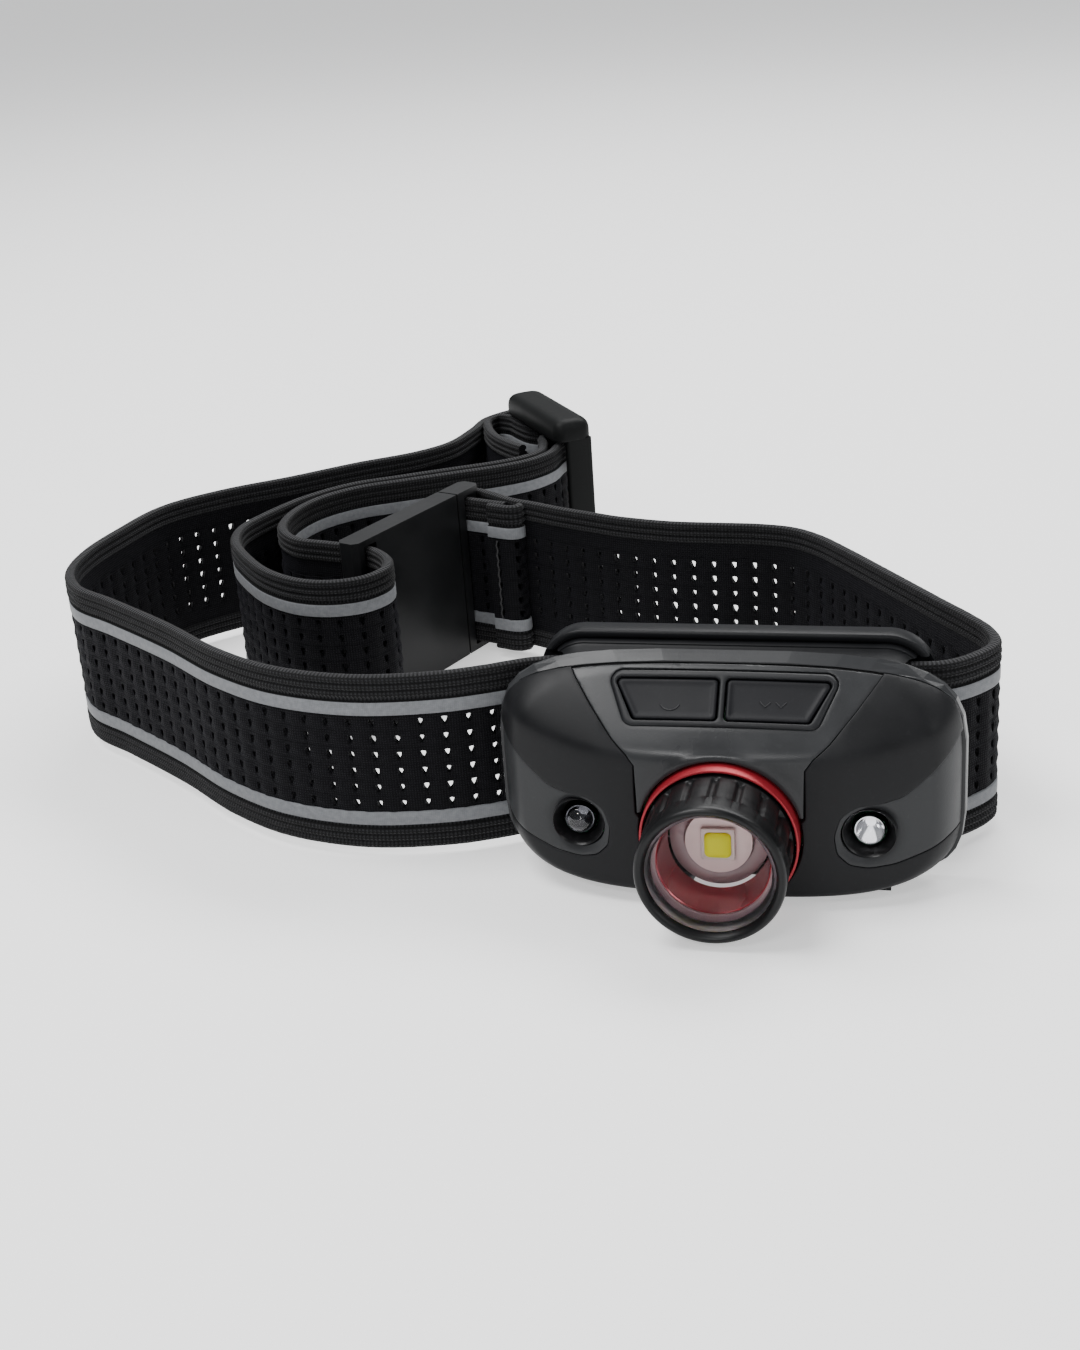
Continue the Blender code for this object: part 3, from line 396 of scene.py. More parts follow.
def carve(ob, cutter, operation="DIFFERENCE"):
    """Cut a piece with another, or join them, and use the cutter up."""
    mod = ob.modifiers.new("cut", "BOOLEAN")
    mod.operation = operation
    mod.solver = "EXACT"
    mod.object = cutter
    bpy.context.view_layer.update()
    deps = bpy.context.evaluated_depsgraph_get()
    mesh = bpy.data.meshes.new_from_object(ob.evaluated_get(deps))
    ob.modifiers.clear()
    ob.data = mesh
    bpy.data.objects.remove(cutter)
    mesh.set_sharp_from_angle(angle=math.radians(35))


def wire(name, points, thick, mat):
    """A round wire or thread through points."""
    data = bpy.data.curves.new(name, "CURVE")
    data.dimensions = "3D"
    data.bevel_depth = thick * MM
    data.bevel_resolution = 2
    spline = data.splines.new("POLY")
    spline.points.add(len(points) - 1)
    for point, p in zip(spline.points, points):
        point.co = (*[float(c) * MM for c in p], 1.0)
    data.materials.append(mat)
    return link(bpy.data.objects.new(name, data))


def hand_over(piece, body, node=None):
    """Attach a piece to the body it rides and hide the CAD node it stands in for."""
    if node:
        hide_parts(node)
    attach(piece, body)


# ------------------------------------------------------------------ the band
STRAP_Z0, STRAP_Z1 = 1.6, 31.6
BUCKLE_XY, BUCKLE_DIR = (-76.1, 43.0), (0.3715, 0.9284)
SLIDER_XY, SLIDER_DIR = (-54.4, 122.5), (0.563, -0.827)


def framed(outline, origin, direction):
    (ox, oy), (dx, dy) = origin, direction
    return [(ox + s * dx - n * dy, oy + s * dy + n * dx) for s, n in outline]


END_ROUTE = framed([(35.4, -12.5), (35.2, -6.0), (35.1, -1.2), (35.5, 1.4), (37.0, 2.8),
                    (38.9, 2.7), (40.3, 1.0), (40.4, -1.0), (39.4, -5.0), (37.9, -10.5)],
                   BUCKLE_XY, BUCKLE_DIR) + [(-48.0, 72.3), (-41.2, 68.8), (-34.5, 65.9)]
SLIDER_IN = [(-18.6, 1.4), (-15.2, 5.0), (-8.0, 5.8), (0.0, 5.3), (5.0, 3.5), (8.6, 0.0),
             (11.6, -3.2), (16.0, -7.1)]
SLIDER_LOOP = [(14.0, -8.6), (9.0, -5.6), (4.6, -4.0), (2.8, -0.8), (2.6, 0.8), (1.8, 2.3),
               (0.0, 2.9), (-1.8, 2.3), (-2.6, 0.8), (-3.0, -0.8), (-5.5, -2.7), (-10.0, -3.5),
               (-14.5, -3.9), (-17.0, -6.0), (-15.5, -8.9), (-10.0, -11.0), (-3.0, -12.1),
               (4.0, -11.5), (10.5, -9.8)]
MAIN_ROUTE = (
    [(-29.5, 63.8), (-19.3, 61.2), (-10.0, 60.5), (-2.7, 60.0), (3.7, 58.2), (8.6, 54.1),
     (13.3, 48.1), (22.5, 35.2), (30.9, 23.3), (34.8, 17.9), (38.2, 12.0), (38.9, 7.0),
     (36.2, 2.4), (31.8, -1.1), (26.0, -1.9), (0.0, -1.9), (-26.0, -2.2), (-31.5, -3.3),
     (-38.0, -6.6), (-45.0, -9.4), (-58.0, -11.5), (-72.0, -9.0), (-84.0, -2.5), (-97.0, 8.0),
     (-112.0, 18.7), (-121.0, 24.8), (-126.0, 33.0), (-127.4, 43.0), (-126.0, 55.0),
     (-122.5, 69.0), (-114.0, 79.0), (-102.0, 88.0), (-91.0, 97.2), (-80.0, 105.0),
     (-74.5, 112.0), (-72.0, 122.0), (-70.6, 131.0)]
    + framed(SLIDER_IN, SLIDER_XY, SLIDER_DIR)
    + [(-54.5, 99.8), (-60.0, 95.5), (-68.2, 91.2), (-77.4, 86.3), (-86.0, 81.5),
       (-92.0, 74.4), (-94.4, 66.0), (-93.4, 57.2), (-88.5, 51.0), (-82.2, 49.1)]
    + framed([(4.2, 2.6), (4.2, 0.0), (4.2, -2.6)], BUCKLE_XY, BUCKLE_DIR)
    + [(-67.8, 41.0), (-66.8, 36.0), (-69.5, 31.2), (-75.0, 28.9), (-81.0, 29.6),
       (-88.0, 33.8), (-95.3, 42.0), (-100.0, 49.5), (-101.6, 57.0), (-99.0, 66.5),
       (-94.6, 75.8), (-87.8, 83.7), (-78.8, 88.8), (-69.6, 93.7), (-61.6, 97.9),
       (-56.6, 101.6)]
    + framed(SLIDER_LOOP, SLIDER_XY, SLIDER_DIR))


def between(t, low, high, p, q):
    return (high - t) / (high - low) * p + (t - low) / (high - low) * q


class Band:
    """Plan curve of the band, read by distance along it."""

    def __init__(self, controls):
        pts = [np.array(p, float) for p in controls]
        pts = [2 * pts[0] - pts[1]] + pts + [2 * pts[-1] - pts[-2]]
        line = []
        for p0, p1, p2, p3 in zip(pts, pts[1:], pts[2:], pts[3:]):
            t1 = math.sqrt(np.linalg.norm(p1 - p0))
            t2 = t1 + math.sqrt(np.linalg.norm(p2 - p1))
            t3 = t2 + math.sqrt(np.linalg.norm(p3 - p2))
            t = np.linspace(t1, t2, 40, endpoint=False)[:, None]
            a1, a2, a3 = between(t, 0, t1, p0, p1), between(t, t1, t2, p1, p2), between(t, t2, t3, p2, p3)
            line.append(between(t, t1, t2, between(t, 0, t2, a1, a2), between(t, t1, t3, a2, a3)))
        line = np.vstack(line + [pts[-2][None, :]])
        step = np.linalg.norm(np.diff(line, axis=0), axis=1)
        self.s = np.concatenate(([0.0], np.cumsum(step)))
        even = np.arange(0.0, self.s[-1], 0.2)
        x, y = np.interp(even, self.s, line[:, 0]), np.interp(even, self.s, line[:, 1])
        soft = np.ones(5) / 5
        for _ in range(2):
            x[2:-2], y[2:-2] = np.convolve(x, soft, "valid"), np.convolve(y, soft, "valid")
        self.s, self.x, self.y = even, x, y
        tx, ty = np.gradient(x), np.gradient(y)
        size = np.hypot(tx, ty)
        self.nx, self.ny = -ty / size, tx / size
        self.length = even[-1]

    def at(self, s, n, z):
        s = np.clip(s, 0, self.length)
        px, py = np.interp(s, self.s, self.x), np.interp(s, self.s, self.y)
        qx, qy = np.interp(s, self.s, self.nx), np.interp(s, self.s, self.ny)
        size = np.hypot(qx, qy)
        return np.column_stack((px + qx / size * n, py + qy / size * n, z))


ROWS = 6
STITCH_LIFT = 1.04
KNIT_Z0, KNIT_Z1 = 8.1, 25.1
HOLE = [(0, -0.84), (0.27, -0.42), (0.45, 0.12), (0.42, 0.56), (0, 0.66), (-0.42, 0.56),
        (-0.45, 0.12), (-0.27, -0.42)]
RING = [(1, 0), (2, 0), (2, 1), (2, 2), (1, 2), (0, 2), (0, 1), (0, 0)]
EDGE_FRONT = [(0.70, 25.00, 1), (0.94, 25.10, 1), (0.98, 25.30, 1), (0.98, 27.10, 1),
              (0.90, 27.32, 1), (0.42, 27.42, 2), (0.42, 27.90, 2), (0.80, 28.05, 2),
              (1.08, 28.35, 2), (1.08, 28.80, 2), (0.62, 29.12, 2), (0.62, 29.24, 2),
              (1.08, 29.55, 2), (1.08, 30.00, 2), (0.62, 30.32, 2), (0.62, 30.44, 2),
              (1.02, 30.72, 2), (1.02, 31.12, 2), (0.66, 31.52, 2), (0.20, 31.70, 2)]
EDGE_BACK = [(-0.20, 31.70, 2), (-0.66, 31.52, 2), (-1.02, 31.12, 2), (-1.02, 30.72, 2),
             (-0.62, 30.44, 2), (-0.62, 30.32, 2), (-1.08, 30.00, 2), (-1.08, 29.55, 2),
             (-0.62, 29.24, 2), (-0.62, 29.12, 2), (-1.06, 28.80, 2), (-1.06, 28.35, 2),
             (-0.70, 28.05, 2), (-0.62, 27.90, 0), (-0.72, 26.5, 0), (-0.70, 25.00, 0)]
EDGE = EDGE_FRONT + EDGE_BACK


def band_mesh(name, band, first, last, start, close_start=False, close_end=False, seed=3):
    """Perforated knit, reflective stripes and stitched bindings between two cell numbers."""
    rng = np.random.default_rng(seed)
    count = last - first
    pitch_z = (KNIT_Z1 - KNIT_Z0) / ROWS
    points, uvs, faces, mats = [], [], [], []
    size = 0

    def give(s, n, z):
        nonlocal size
        s, n, z = (np.ravel(v) for v in (s, n, z))
        pos = band.at(s, n, z)
        points.append(pos)
        uvs.append(np.column_stack((s, z)))
        base = size
        size += len(pos)
        return base

    gi, gk = np.meshgrid(np.arange(2 * count + 1), np.arange(2 * ROWS + 1), indexing="ij")
    s_grid = start + (first + gi / 2.0) * CELL
    z_grid = KNIT_Z0 + gk * pitch_z / 2
    odd_s, odd_z = gi % 2 == 1, gk % 2 == 1
    relief = np.where(odd_z & ~odd_s, 1.02, np.where(odd_s & ~odd_z, 0.52, 0.80))
    relief = relief + rng.normal(0, 0.025, relief.shape)
    wide = 2 * ROWS + 1
    holes = np.array(HOLE)
    scale = 1 + rng.normal(0, 0.07, (count, ROWS, 1, 1))
    jitter = rng.normal(0, 0.03, (count, ROWS, 8, 2))
    middle = np.stack(np.meshgrid(start + (first + np.arange(count) + 0.5) * CELL,
                                  KNIT_Z0 + (np.arange(ROWS) + 0.5) * pitch_z,
                                  indexing="ij"), -1)[:, :, None, :]
    inner = middle + holes * scale + jitter
    outer_ring = middle + holes * scale * np.array([1.75, 1.32]) + jitter
    bases = {}
    for side in (1, -1):
        bases[side, "grid"] = give(s_grid, side * relief, z_grid)
        mid_n = side * (0.78 + rng.normal(0, 0.04, (count, ROWS, 8)))
        bases[side, "mid"] = give(outer_ring[..., 0], mid_n, outer_ring[..., 1])
        bases[side, "hole"] = give(inner[..., 0], np.full(inner.shape[:3], side * 0.60), inner[..., 1])
    for j in range(count):
        for k in range(ROWS):
            cell = (j * ROWS + k) * 8
            for a in range(8):
                b = (a + 1) % 8
                (u0, v0), (u1, v1) = RING[a], RING[b]
                for side in (1, -1):
                    g = bases[side, "grid"]
                    p = g + (2 * j + u0) * wide + 2 * k + v0
                    q = g + (2 * j + u1) * wide + 2 * k + v1
                    m, h = bases[side, "mid"] + cell, bases[side, "hole"] + cell
                    quad_a, quad_b = (p, q, m + b, m + a), (m + a, m + b, h + b, h + a)
                    if side == 1:
                        quad_a, quad_b = quad_a[::-1], quad_b[::-1]
                    faces.extend((quad_a, quad_b))
                f, r = bases[1, "hole"] + cell, bases[-1, "hole"] + cell
                faces.append((f + a, f + b, r + b, r + a))
                mats.extend((0, 0, 0, 0, 0))
    steps = count * SUB
    s_line = start + first * CELL + np.arange(steps + 1) * CELL / SUB
    for mirror in (False, True):
        n = np.array([e[0] for e in EDGE])
        z = np.array([e[1] for e in EDGE])
        if mirror:
            z = STRAP_Z0 + STRAP_Z1 - z
        is_yarn = np.array([e[2] for e in EDGE]) == 2
        ridge = is_yarn & (np.abs(n) > 0.9)
        beat = 0.5 + 0.5 * np.cos(np.pi * np.arange(steps + 1))
        n_all = n[None, :] - np.sign(n)[None, :] * ridge[None, :] * (0.24 * beat[:, None])
        n_all = n_all + is_yarn[None, :] * rng.normal(0, 0.015, (steps + 1, len(n)))
        lean = np.where(np.arange(len(n)) % 4 < 2, 0.10, -0.10) * is_yarn
        s_all = s_line[:, None] + lean[None, :]
        s_all[0], s_all[-1] = s_line[0], s_line[-1]
        base = give(s_all, n_all, np.tile(z, steps + 1))
        wide_e = len(EDGE)
        for i in range(steps):
            for e in range(wide_e - 1):
                quad = (base + i * wide_e + e, base + i * wide_e + e + 1,
                        base + (i + 1) * wide_e + e + 1, base + (i + 1) * wide_e + e)
                faces.append(quad if mirror else quad[::-1])
                mats.append(EDGE[e + 1][2] if e < len(EDGE_FRONT) else EDGE[e][2])
    for wanted, s_end, flip in ((close_start, s_line[0], False), (close_end, s_line[-1], True)):
        if wanted:
            outline = [(n, z) for n, z, _ in EDGE]
            low = [(n, STRAP_Z0 + STRAP_Z1 - z) for n, z, _ in EDGE[::-1]]
            ring = np.array(outline + low)
            base = give(np.full(len(ring), s_end), ring[:, 0], ring[:, 1])
            cap = tuple(range(base, base + len(ring)))
            faces.append(cap[::-1] if flip else cap)
            mats.append(0)
    return put(name, np.vstack(points), faces, [knit, stripe, binding], mats,
               uvs=np.vstack(uvs))


band = Band(END_ROUTE + MAIN_ROUTE)
end_line = Band(END_ROUTE + MAIN_ROUTE[:1])
hinge_s = end_line.length
CELLS = int(band.length // CELL)
START = 0.5 * (band.length - CELLS * CELL)
split = int((hinge_s + 7.0 - START) // CELL)
strap_tail = band_mesh("band_buckle_end", band, 0, split, START, close_start=True, seed=5)
strap_band = band_mesh("band_main", band, split, CELLS, START, close_end=True)
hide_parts("strap_end")
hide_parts("strap_main")
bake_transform(strap_tail)
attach(strap_band, "band")


def stitch_row(name, s, width, side, body, z0=3.0, z1=30.2, turns=13, band_line=None):
    """A zigzag bar of thread across the band."""
    line = band_line or band
    count = 2 * turns
    along = np.array([s + (width / 2 if i % 2 else -width / 2) for i in range(count + 1)])
    up = np.array([z0 + (z1 - z0) * i / count for i in range(count + 1)])
    spots = line.at(along, np.full(count + 1, side * STITCH_LIFT), up)
    hand_over(wire(name, spots, 0.14, thread), body)


stitch_row("loop_stitch", START + CELLS * CELL - 2.0, 0.7, 1, "band")

# the turned-over end of the band at the buckle, wrapped round the cut edge
TAIL_S = 35.4
hem_line = Band(framed([(TAIL_S - 1.78, -7.6), (TAIL_S - 1.72, -10.0), (TAIL_S - 1.6, -12.1),
                        (TAIL_S - 1.15, -13.2), (TAIL_S - 0.1, -13.9), (TAIL_S + 0.5, -13.6),
                        (TAIL_S + 0.7, -13.1)][::-1], BUCKLE_XY, BUCKLE_DIR))
hem_cells = int(hem_line.length // CELL)
hem_start = 0.5 * (hem_line.length - hem_cells * CELL)
hem = band_mesh("band_hem", hem_line, 0, hem_cells, hem_start, True, True, 9)
hand_over(hem, "buckle_end")
stitch_row("hem_stitch", hem_line.length - 2.3, 0.25, 1, "buckle_end", 8.5, 24.6, 8, hem_line)

# ------------------------------------------------------------------ lamp head surface
HEAD_Y, HALF_W, HALF_H, MID_Z = -9.0, 35.5, 18.2, 18.3
FACE_Y, BROW_Y, BROW_Z, BROW_SLOPE, CREST, CURL = -14.0, -7.05, 31.25, 1.066, 1.3, 0.12
SKIN_INSET, SKIN_BACK = 0.5, -2.6
FACE_BOW, BROW_BOW = 8.5, 3.0
BARREL_Z, WELL_R = 12.0, 12.2
SPREAD = 1.5               # how far the rounded edge is unrolled in the drawing plane
EDGE_COUNT = 200


def face_depth(x, z):
    """Front of the head: an upright curved face that meets a sloping brow."""
    face = FACE_Y + FACE_BOW * np.abs(x / HALF_W) ** 2.8
    brow = BROW_Y + BROW_SLOPE * (z - BROW_Z) + BROW_BOW * (x / HALF_W) ** 2
    return 0.5 * (face + brow + np.hypot(face - brow, CREST))


def share_of(x, z):
    """Distance from the middle as a share of the head's rounded outline."""
    power = np.where(z > 0, 3.8, 5.0)
    wide, high = np.abs(x / (HALF_W - SKIN_INSET)), np.abs(z / (HALF_H - SKIN_INSET))
    return (wide ** power + high ** power) ** (1 / power)


def unroll(outline):
    """Front-view points to the drawing plane, where the rounded edge lies flat."""
    p = np.array(outline, float)
    x, z = p[:, 0], p[:, 1] - MID_Z
    rho = share_of(x, z)
    step = np.clip((rho - 1 + CURL) / CURL, 0, 1)
    curled = 1 - CURL + CURL * SPREAD * np.arcsin(step) + np.maximum(0, rho - 1)
    flat = np.where(rho > 1 - CURL, curled, rho)
    k = flat / np.maximum(rho, 1e-9)
    return np.column_stack((x * k, z * k))


def roll(p):
    """Drawing-plane points to the head's surface."""
    u, v = p[:, 0], p[:, 1]
    flat = share_of(u, v)
    angle = np.clip((flat - 1 + CURL) / (CURL * SPREAD), 0, math.pi / 2)
    rho = np.where(flat > 1 - CURL, 1 - CURL + CURL * np.sin(angle), flat)
    k = rho / np.maximum(flat, 1e-9)
    x, z = u * k, v * k
    y = face_depth(x, z + MID_Z) * np.cos(angle)
    return np.column_stack((x, HEAD_Y + y, z + MID_Z))


def back_edge(level):
    """Outline in the drawing plane where the surface reaches a depth."""
    ring = []
    for i in range(EDGE_COUNT):
        a = 2 * math.pi * i / EDGE_COUNT
        d = np.array([[math.cos(a), math.sin(a)]])
        base = float(share_of(d[:, 0], d[:, 1])[0])
        lo, hi = (1 - CURL * 2.2) / base, (1 - CURL + CURL * SPREAD * math.pi / 2) / base
        for _ in range(30):
            mid = 0.5 * (lo + hi)
            if roll(d * mid)[0, 1] - HEAD_Y < level:
                lo = mid
            else:
                hi = mid
        ring.append((math.cos(a) * lo, math.sin(a) * lo))
    return np.array(ring)


def winding(loop):
    """1 for an anticlockwise outline, -1 for a clockwise one."""
    (x, y), (x1, y1) = loop.T, np.roll(loop, -1, axis=0).T
    return 1.0 if np.sum(x * y1 - x1 * y) > 0 else -1.0


def clip(subject, window):
    """Part of a polygon inside a convex window."""
    sign = winding(window)
    result = [tuple(p) for p in subject]
    for i in range(len(window)):
        a, b = window[i], window[(i + 1) % len(window)]
        e = b - a

        def inside(p):
            return sign * (e[0] * (p[1] - a[1]) - e[1] * (p[0] - a[0]))

        fresh = []
        for q, p in zip([result[-1]] + result[:-1], result):
            dq, dp = inside(q), inside(p)
            if (dp >= 0) != (dq >= 0):
                t = dq / (dq - dp)
                fresh.append((q[0] + t * (p[0] - q[0]), q[1] + t * (p[1] - q[1])))
            if dp >= 0:
                fresh.append(p)
        result = fresh
        if not result:
            return np.zeros((0, 2))
    return np.array(result)


def resample(loop, spacing):
    """A closed outline with points at most about a spacing apart."""
    pts = np.array(loop, float)
    result = []
    for p, q in zip(pts, np.roll(pts, -1, axis=0)):
        n = max(1, int(round(np.linalg.norm(q - p) / spacing)))
        result.extend(p + (q - p) * i / n for i in range(n))
    result = np.array(result)
    keep = np.linalg.norm(result - np.roll(result, 1, axis=0), axis=1) > 0.05
    return result[keep]


def soften(loop, rounds):
    """Round the corners of a drawn outline."""
    pts = resample(loop, 0.45)
    for _ in range(rounds):
        pts = 0.25 * np.roll(pts, 1, axis=0) + 0.5 * pts + 0.25 * np.roll(pts, -1, axis=0)
    return pts


def inward(loop, distance):
    """A closed outline moved in by a distance."""
    sign = winding(loop)
    t = np.roll(loop, -1, axis=0) - np.roll(loop, 1, axis=0)
    t /= np.maximum(np.linalg.norm(t, axis=1), 1e-9)[:, None]
    return loop + sign * distance * np.column_stack((-t[:, 1], t[:, 0]))


def within(points, loop):
    """Which points lie inside a closed outline."""
    x, y = points[:, 0], points[:, 1]
    result = np.zeros(len(points), bool)
    for (x0, y0), (x1, y1) in zip(loop, np.roll(loop, -1, axis=0)):
        cross = (y0 > y) != (y1 > y)
        if cross.any():
            result ^= cross & (x < (x1 - x0) * (y - y0) / (y1 - y0 + 1e-15) + x0)
    return result


def on_panel(points, loops):
    """Which points lie inside the first outline and in none of the others."""
    result = within(points, loops[0])
    for hole in loops[1:]:
        result &= ~within(points, hole)
    return result


def nearest(points, loop):
    """Distance of each point from a closed outline."""
    best = np.full(len(points), 1e9)
    for a, b in zip(loop, np.roll(loop, -1, axis=0)):
        e = b - a
        t = np.clip(((points - a) @ e) / max(e @ e, 1e-12), 0, 1)
        best = np.minimum(best, np.linalg.norm(points - (a + t[:, None] * e), axis=1))
    return best


def tile(name, outline, holes, mat, proud=0.0, radius=0.45, depth=1.1, spacing=0.75, extra=None):
    """A moulded panel on the head's surface with rounded rims, drawn in the unrolled plane."""
    loops = [np.array(outline)] + [np.array(h) for h in holes]
    levels = (0.0, 0.12, 0.3, 0.55, 1.0)
    coords, edges, rim = [], [], []
    for index, loop in enumerate(loops):
        for level in levels:
            d = level * radius
            ring = loop if level == 0 else inward(loop, d if index == 0 else -d)
            start = len(coords)
            coords.extend(ring)
            rim.extend([d] * len(ring))
            if level == 0:
                edges.extend((start + i, start + (i + 1) % len(ring)) for i in range(len(ring)))
    low, high = loops[0].min(0), loops[0].max(0)
    gx, gy = np.meshgrid(np.arange(low[0], high[0], spacing), np.arange(low[1], high[1], spacing * 0.9))
    gx[1::2] += spacing / 2
    grid = np.column_stack((gx.ravel(), gy.ravel()))
    grid = grid[on_panel(grid, loops)]
    for loop in loops:
        grid = grid[nearest(grid, loop) > radius + 0.35 * spacing]
    coords = np.vstack((np.array(coords), grid))
    rim = np.concatenate((np.array(rim), np.full(len(grid), radius)))
    out = geometry.delaunay_2d_cdt([Vector(c) for c in coords], edges, [], 0, 1e-7)
    verts = np.array([(v.x, v.y) for v in out[0]])
    source = [o[0] if o else -1 for o in out[3]]
    rim = np.array([rim[i] if i >= 0 else 0.0 for i in source])
    tris = np.array([f for f in out[2] if len(f) == 3])
    tris = tris[on_panel(verts[tris].mean(1), loops)]
    used = np.unique(tris)
    remap = -np.ones(len(verts), int)
    remap[used] = np.arange(len(used))
    tris, verts, rim = remap[tris], verts[used], rim[used]
    place = roll(verts)
    e = 0.02
    du = roll(verts + (e, 0)) - roll(verts - (e, 0))
    dv = roll(verts + (0, e)) - roll(verts - (0, e))
    normal = np.cross(du, dv)
    normal /= np.linalg.norm(normal, axis=1)[:, None]
    drop = radius - np.sqrt(np.maximum(0.0, radius ** 2 - (radius - rim) ** 2))
    lift = proud - drop
    if extra is not None:
        lift = lift + extra(place[:, 0], place[:, 2])
    top = place + normal * lift[:, None]
    low_side = place - normal * depth
    ab = verts[tris[:, 1]] - verts[tris[:, 0]]
    ac = verts[tris[:, 2]] - verts[tris[:, 0]]
    turn_way = ab[:, 0] * ac[:, 1] - ab[:, 1] * ac[:, 0]
    tris = np.where((turn_way > 0)[:, None], tris, tris[:, ::-1])
    count, tris = len(verts), tris.tolist()
    faces = [tuple(t) for t in tris] + [tuple(i + count for i in t[::-1]) for t in tris]
    seen = dict.fromkeys((t[i], t[(i + 1) % 3]) for t in tris for i in range(3))
    faces += [(b, a, a + count, b + count) for a, b in seen if (b, a) not in seen]
    return put(name, np.vstack((top, low_side)), faces, mat, sharp=50)


FACE_EDGE = [(23.2, 33.8), (19.5, 29.8), (16.0, 26.4), (13.7, 24.6), (12.5, 23.0)]
SIDE_OUTLINE = [(41.0, 27.6), (35.2, 26.9), (33.4, 24.2), (30.2, 20.9), (26.4, 18.0),
                (22.8, 17.1), (20.0, 16.9), (17.5, 15.3), (16.6, 12.3), (17.0, 9.4),
                (18.8, 7.5), (21.6, 6.8), (25.4, 7.1), (29.8, 8.4), (34.8, 10.4), (41.0, 11.8)]
HAIR = 0.03                # half the fine gap between panels
LED_X, LED_Z = 21.6, 12.4


def flipped(outline):
    return [(-x, z) for x, z in outline[::-1]]


def well_lip(x, z):
    """A low raised lip round the top of the barrel's well."""
    r = np.hypot(x, z - BARREL_Z)
    return 0.16 * np.exp(-((r - WELL_R - 0.6) / 0.45) ** 2) * np.clip((z - 14) / 4, 0, 1)


skin_edge = back_edge(SKIN_BACK)
BROW_N = np.array((0.0, -1.0, BROW_SLOPE)) / math.hypot(1.0, BROW_SLOPE)
BROW_T = np.array((0.0, BROW_SLOPE, 1.0)) / math.hypot(1.0, BROW_SLOPE)
BROW_O = np.array((0.0, HEAD_Y + BROW_Y, BROW_Z))
BROW_FALL = BROW_BOW / HALF_W ** 2 * 0.62
BORDER = [(-14.1, -4.45), (14.1, -4.45), (17.5, 4.45), (-17.5, 4.45)]
BORDER_CORNER = 1.7
CORNER_STEPS, SIDE_STEPS = 5, 12


def soft_corners(outline, inset, radius):
    """An anticlockwise convex outline moved in by inset, its corners rounded."""
    pts = [np.array(p, float) for p in outline]
    out = []
    for i, cur in enumerate(pts):
        before, after = cur - pts[i - 1], pts[(i + 1) % len(pts)] - cur
        n0, n1 = (np.array((-d[1], d[0])) / np.hypot(*d) for d in (before, after))
        centre = cur + (inset + radius) * (n0 + n1) / (1 + n0 @ n1)
        for k in range(CORNER_STEPS + 1):
            n = n0 * (1 - k / CORNER_STEPS) + n1 * k / CORNER_STEPS
            out.append(tuple(centre - radius * n / np.hypot(*n)))
    return out


def on_brow(u, v, w):
    """A point over the brow, which falls back a little towards both sides."""
    return tuple(BROW_O + np.array((u, 0, 0)) + BROW_T * v + BROW_N * (w - BROW_FALL * u * u))


face_top = [(23.2 - HAIR, 41.0), (23.2 - HAIR, 33.8), (19.4, 29.8), (15.9, 26.4), (13.6, 24.6),
            (12.45, 23.0), (12.30, 18.2), (12.25, 15.35)]
face_poly = face_top + arc(0, BARREL_Z, WELL_R, 14, 166, 60)[1:-1] + flipped(face_top)
opening = resample(soft_corners(BORDER, -0.1, BORDER_CORNER + 0.1), 0.5)
opening = [on_brow(u, v, 0.1)[::2] for u, v in opening]
face_loop = clip(unroll(resample(face_poly, 0.5)), skin_edge)
face_panel = tile("face_panel_shell", resample(face_loop, 0.5), [unroll(opening)],
                  shell_grey, 0.0, 0.16, 1.1, 0.45, well_lip)
hand_over(face_panel, "head", "face_panel")

grip_face = [(x + HAIR, z) for x, z in FACE_EDGE] + [(12.55, 18.2), (12.5, 15.3)]
low_arc = arc(0, BARREL_Z, WELL_R, 12, -88, 50)


def grip_extra(flip):
    def lift(x, z):
        x = -x if flip else x
        brow = np.exp(-((z - 30.5) / 4.0) ** 2) * 0.35
        lower = 0.25 / (1 + np.exp(-(z - 17.0) / 1.0))
        return brow * (x > 13) * np.clip((x - 14) / 4, 0, 1) + lower * np.clip((x - 13) / 5, 0, 1)
    return lift


def panel_extra(flip):
    def lift(x, z):
        x = -x if flip else x
        r = np.hypot(x - LED_X, z - LED_Z)
        return -0.45 * np.exp(-(np.maximum(0, r - 4.0) / 0.7) ** 2)
    return lift


for label, flip in (("right", False), ("left", True)):
    way = flipped if flip else list
    notch = soften(SIDE_OUTLINE, 2)
    notch_out = inward(notch, -HAIR)
    # the notch opens to the right; start it at its lower outer corner
    start = int(np.argmin(np.hypot(notch_out[:, 0] - 41.0, notch_out[:, 1] - 10.5)))
    notch_out = np.roll(notch_out, -start, axis=0)
    cut = notch_out[notch_out[:, 0] < 40.3]
    if cut[0][1] > cut[-1][1]:
        cut = cut[::-1]
    outline = ([(0.12, -6.0), (45.0, -6.0), (45.0, float(cut[0][1]))] + [tuple(p) for p in cut]
               + [(45.0, float(cut[-1][1])), (45.0, 45.0), (23.2 + HAIR, 45.0)] + grip_face
               + low_arc)
    loop = clip(unroll(resample(way(outline), 0.5)), skin_edge)
    grip = tile(f"grip_{label}_shell", resample(loop, 0.5), [], soft_black, 0.04, 0.16, 1.1, 0.7,
                grip_extra(flip))
    hand_over(grip, "head", f"grip_{label}")
    side = inward(notch, HAIR)
    side_loop = clip(unroll(way([tuple(p) for p in side])), skin_edge)
    panel = tile(f"side_panel_{label}_shell", resample(side_loop, 0.5),
                 [unroll(circle(-LED_X if flip else LED_X, LED_Z, 4.0, 72))],
                 panel_grey, 0.0, 0.16, 1.1, 0.6, panel_extra(flip))
    hand_over(panel, "head", f"side_panel_{label}")

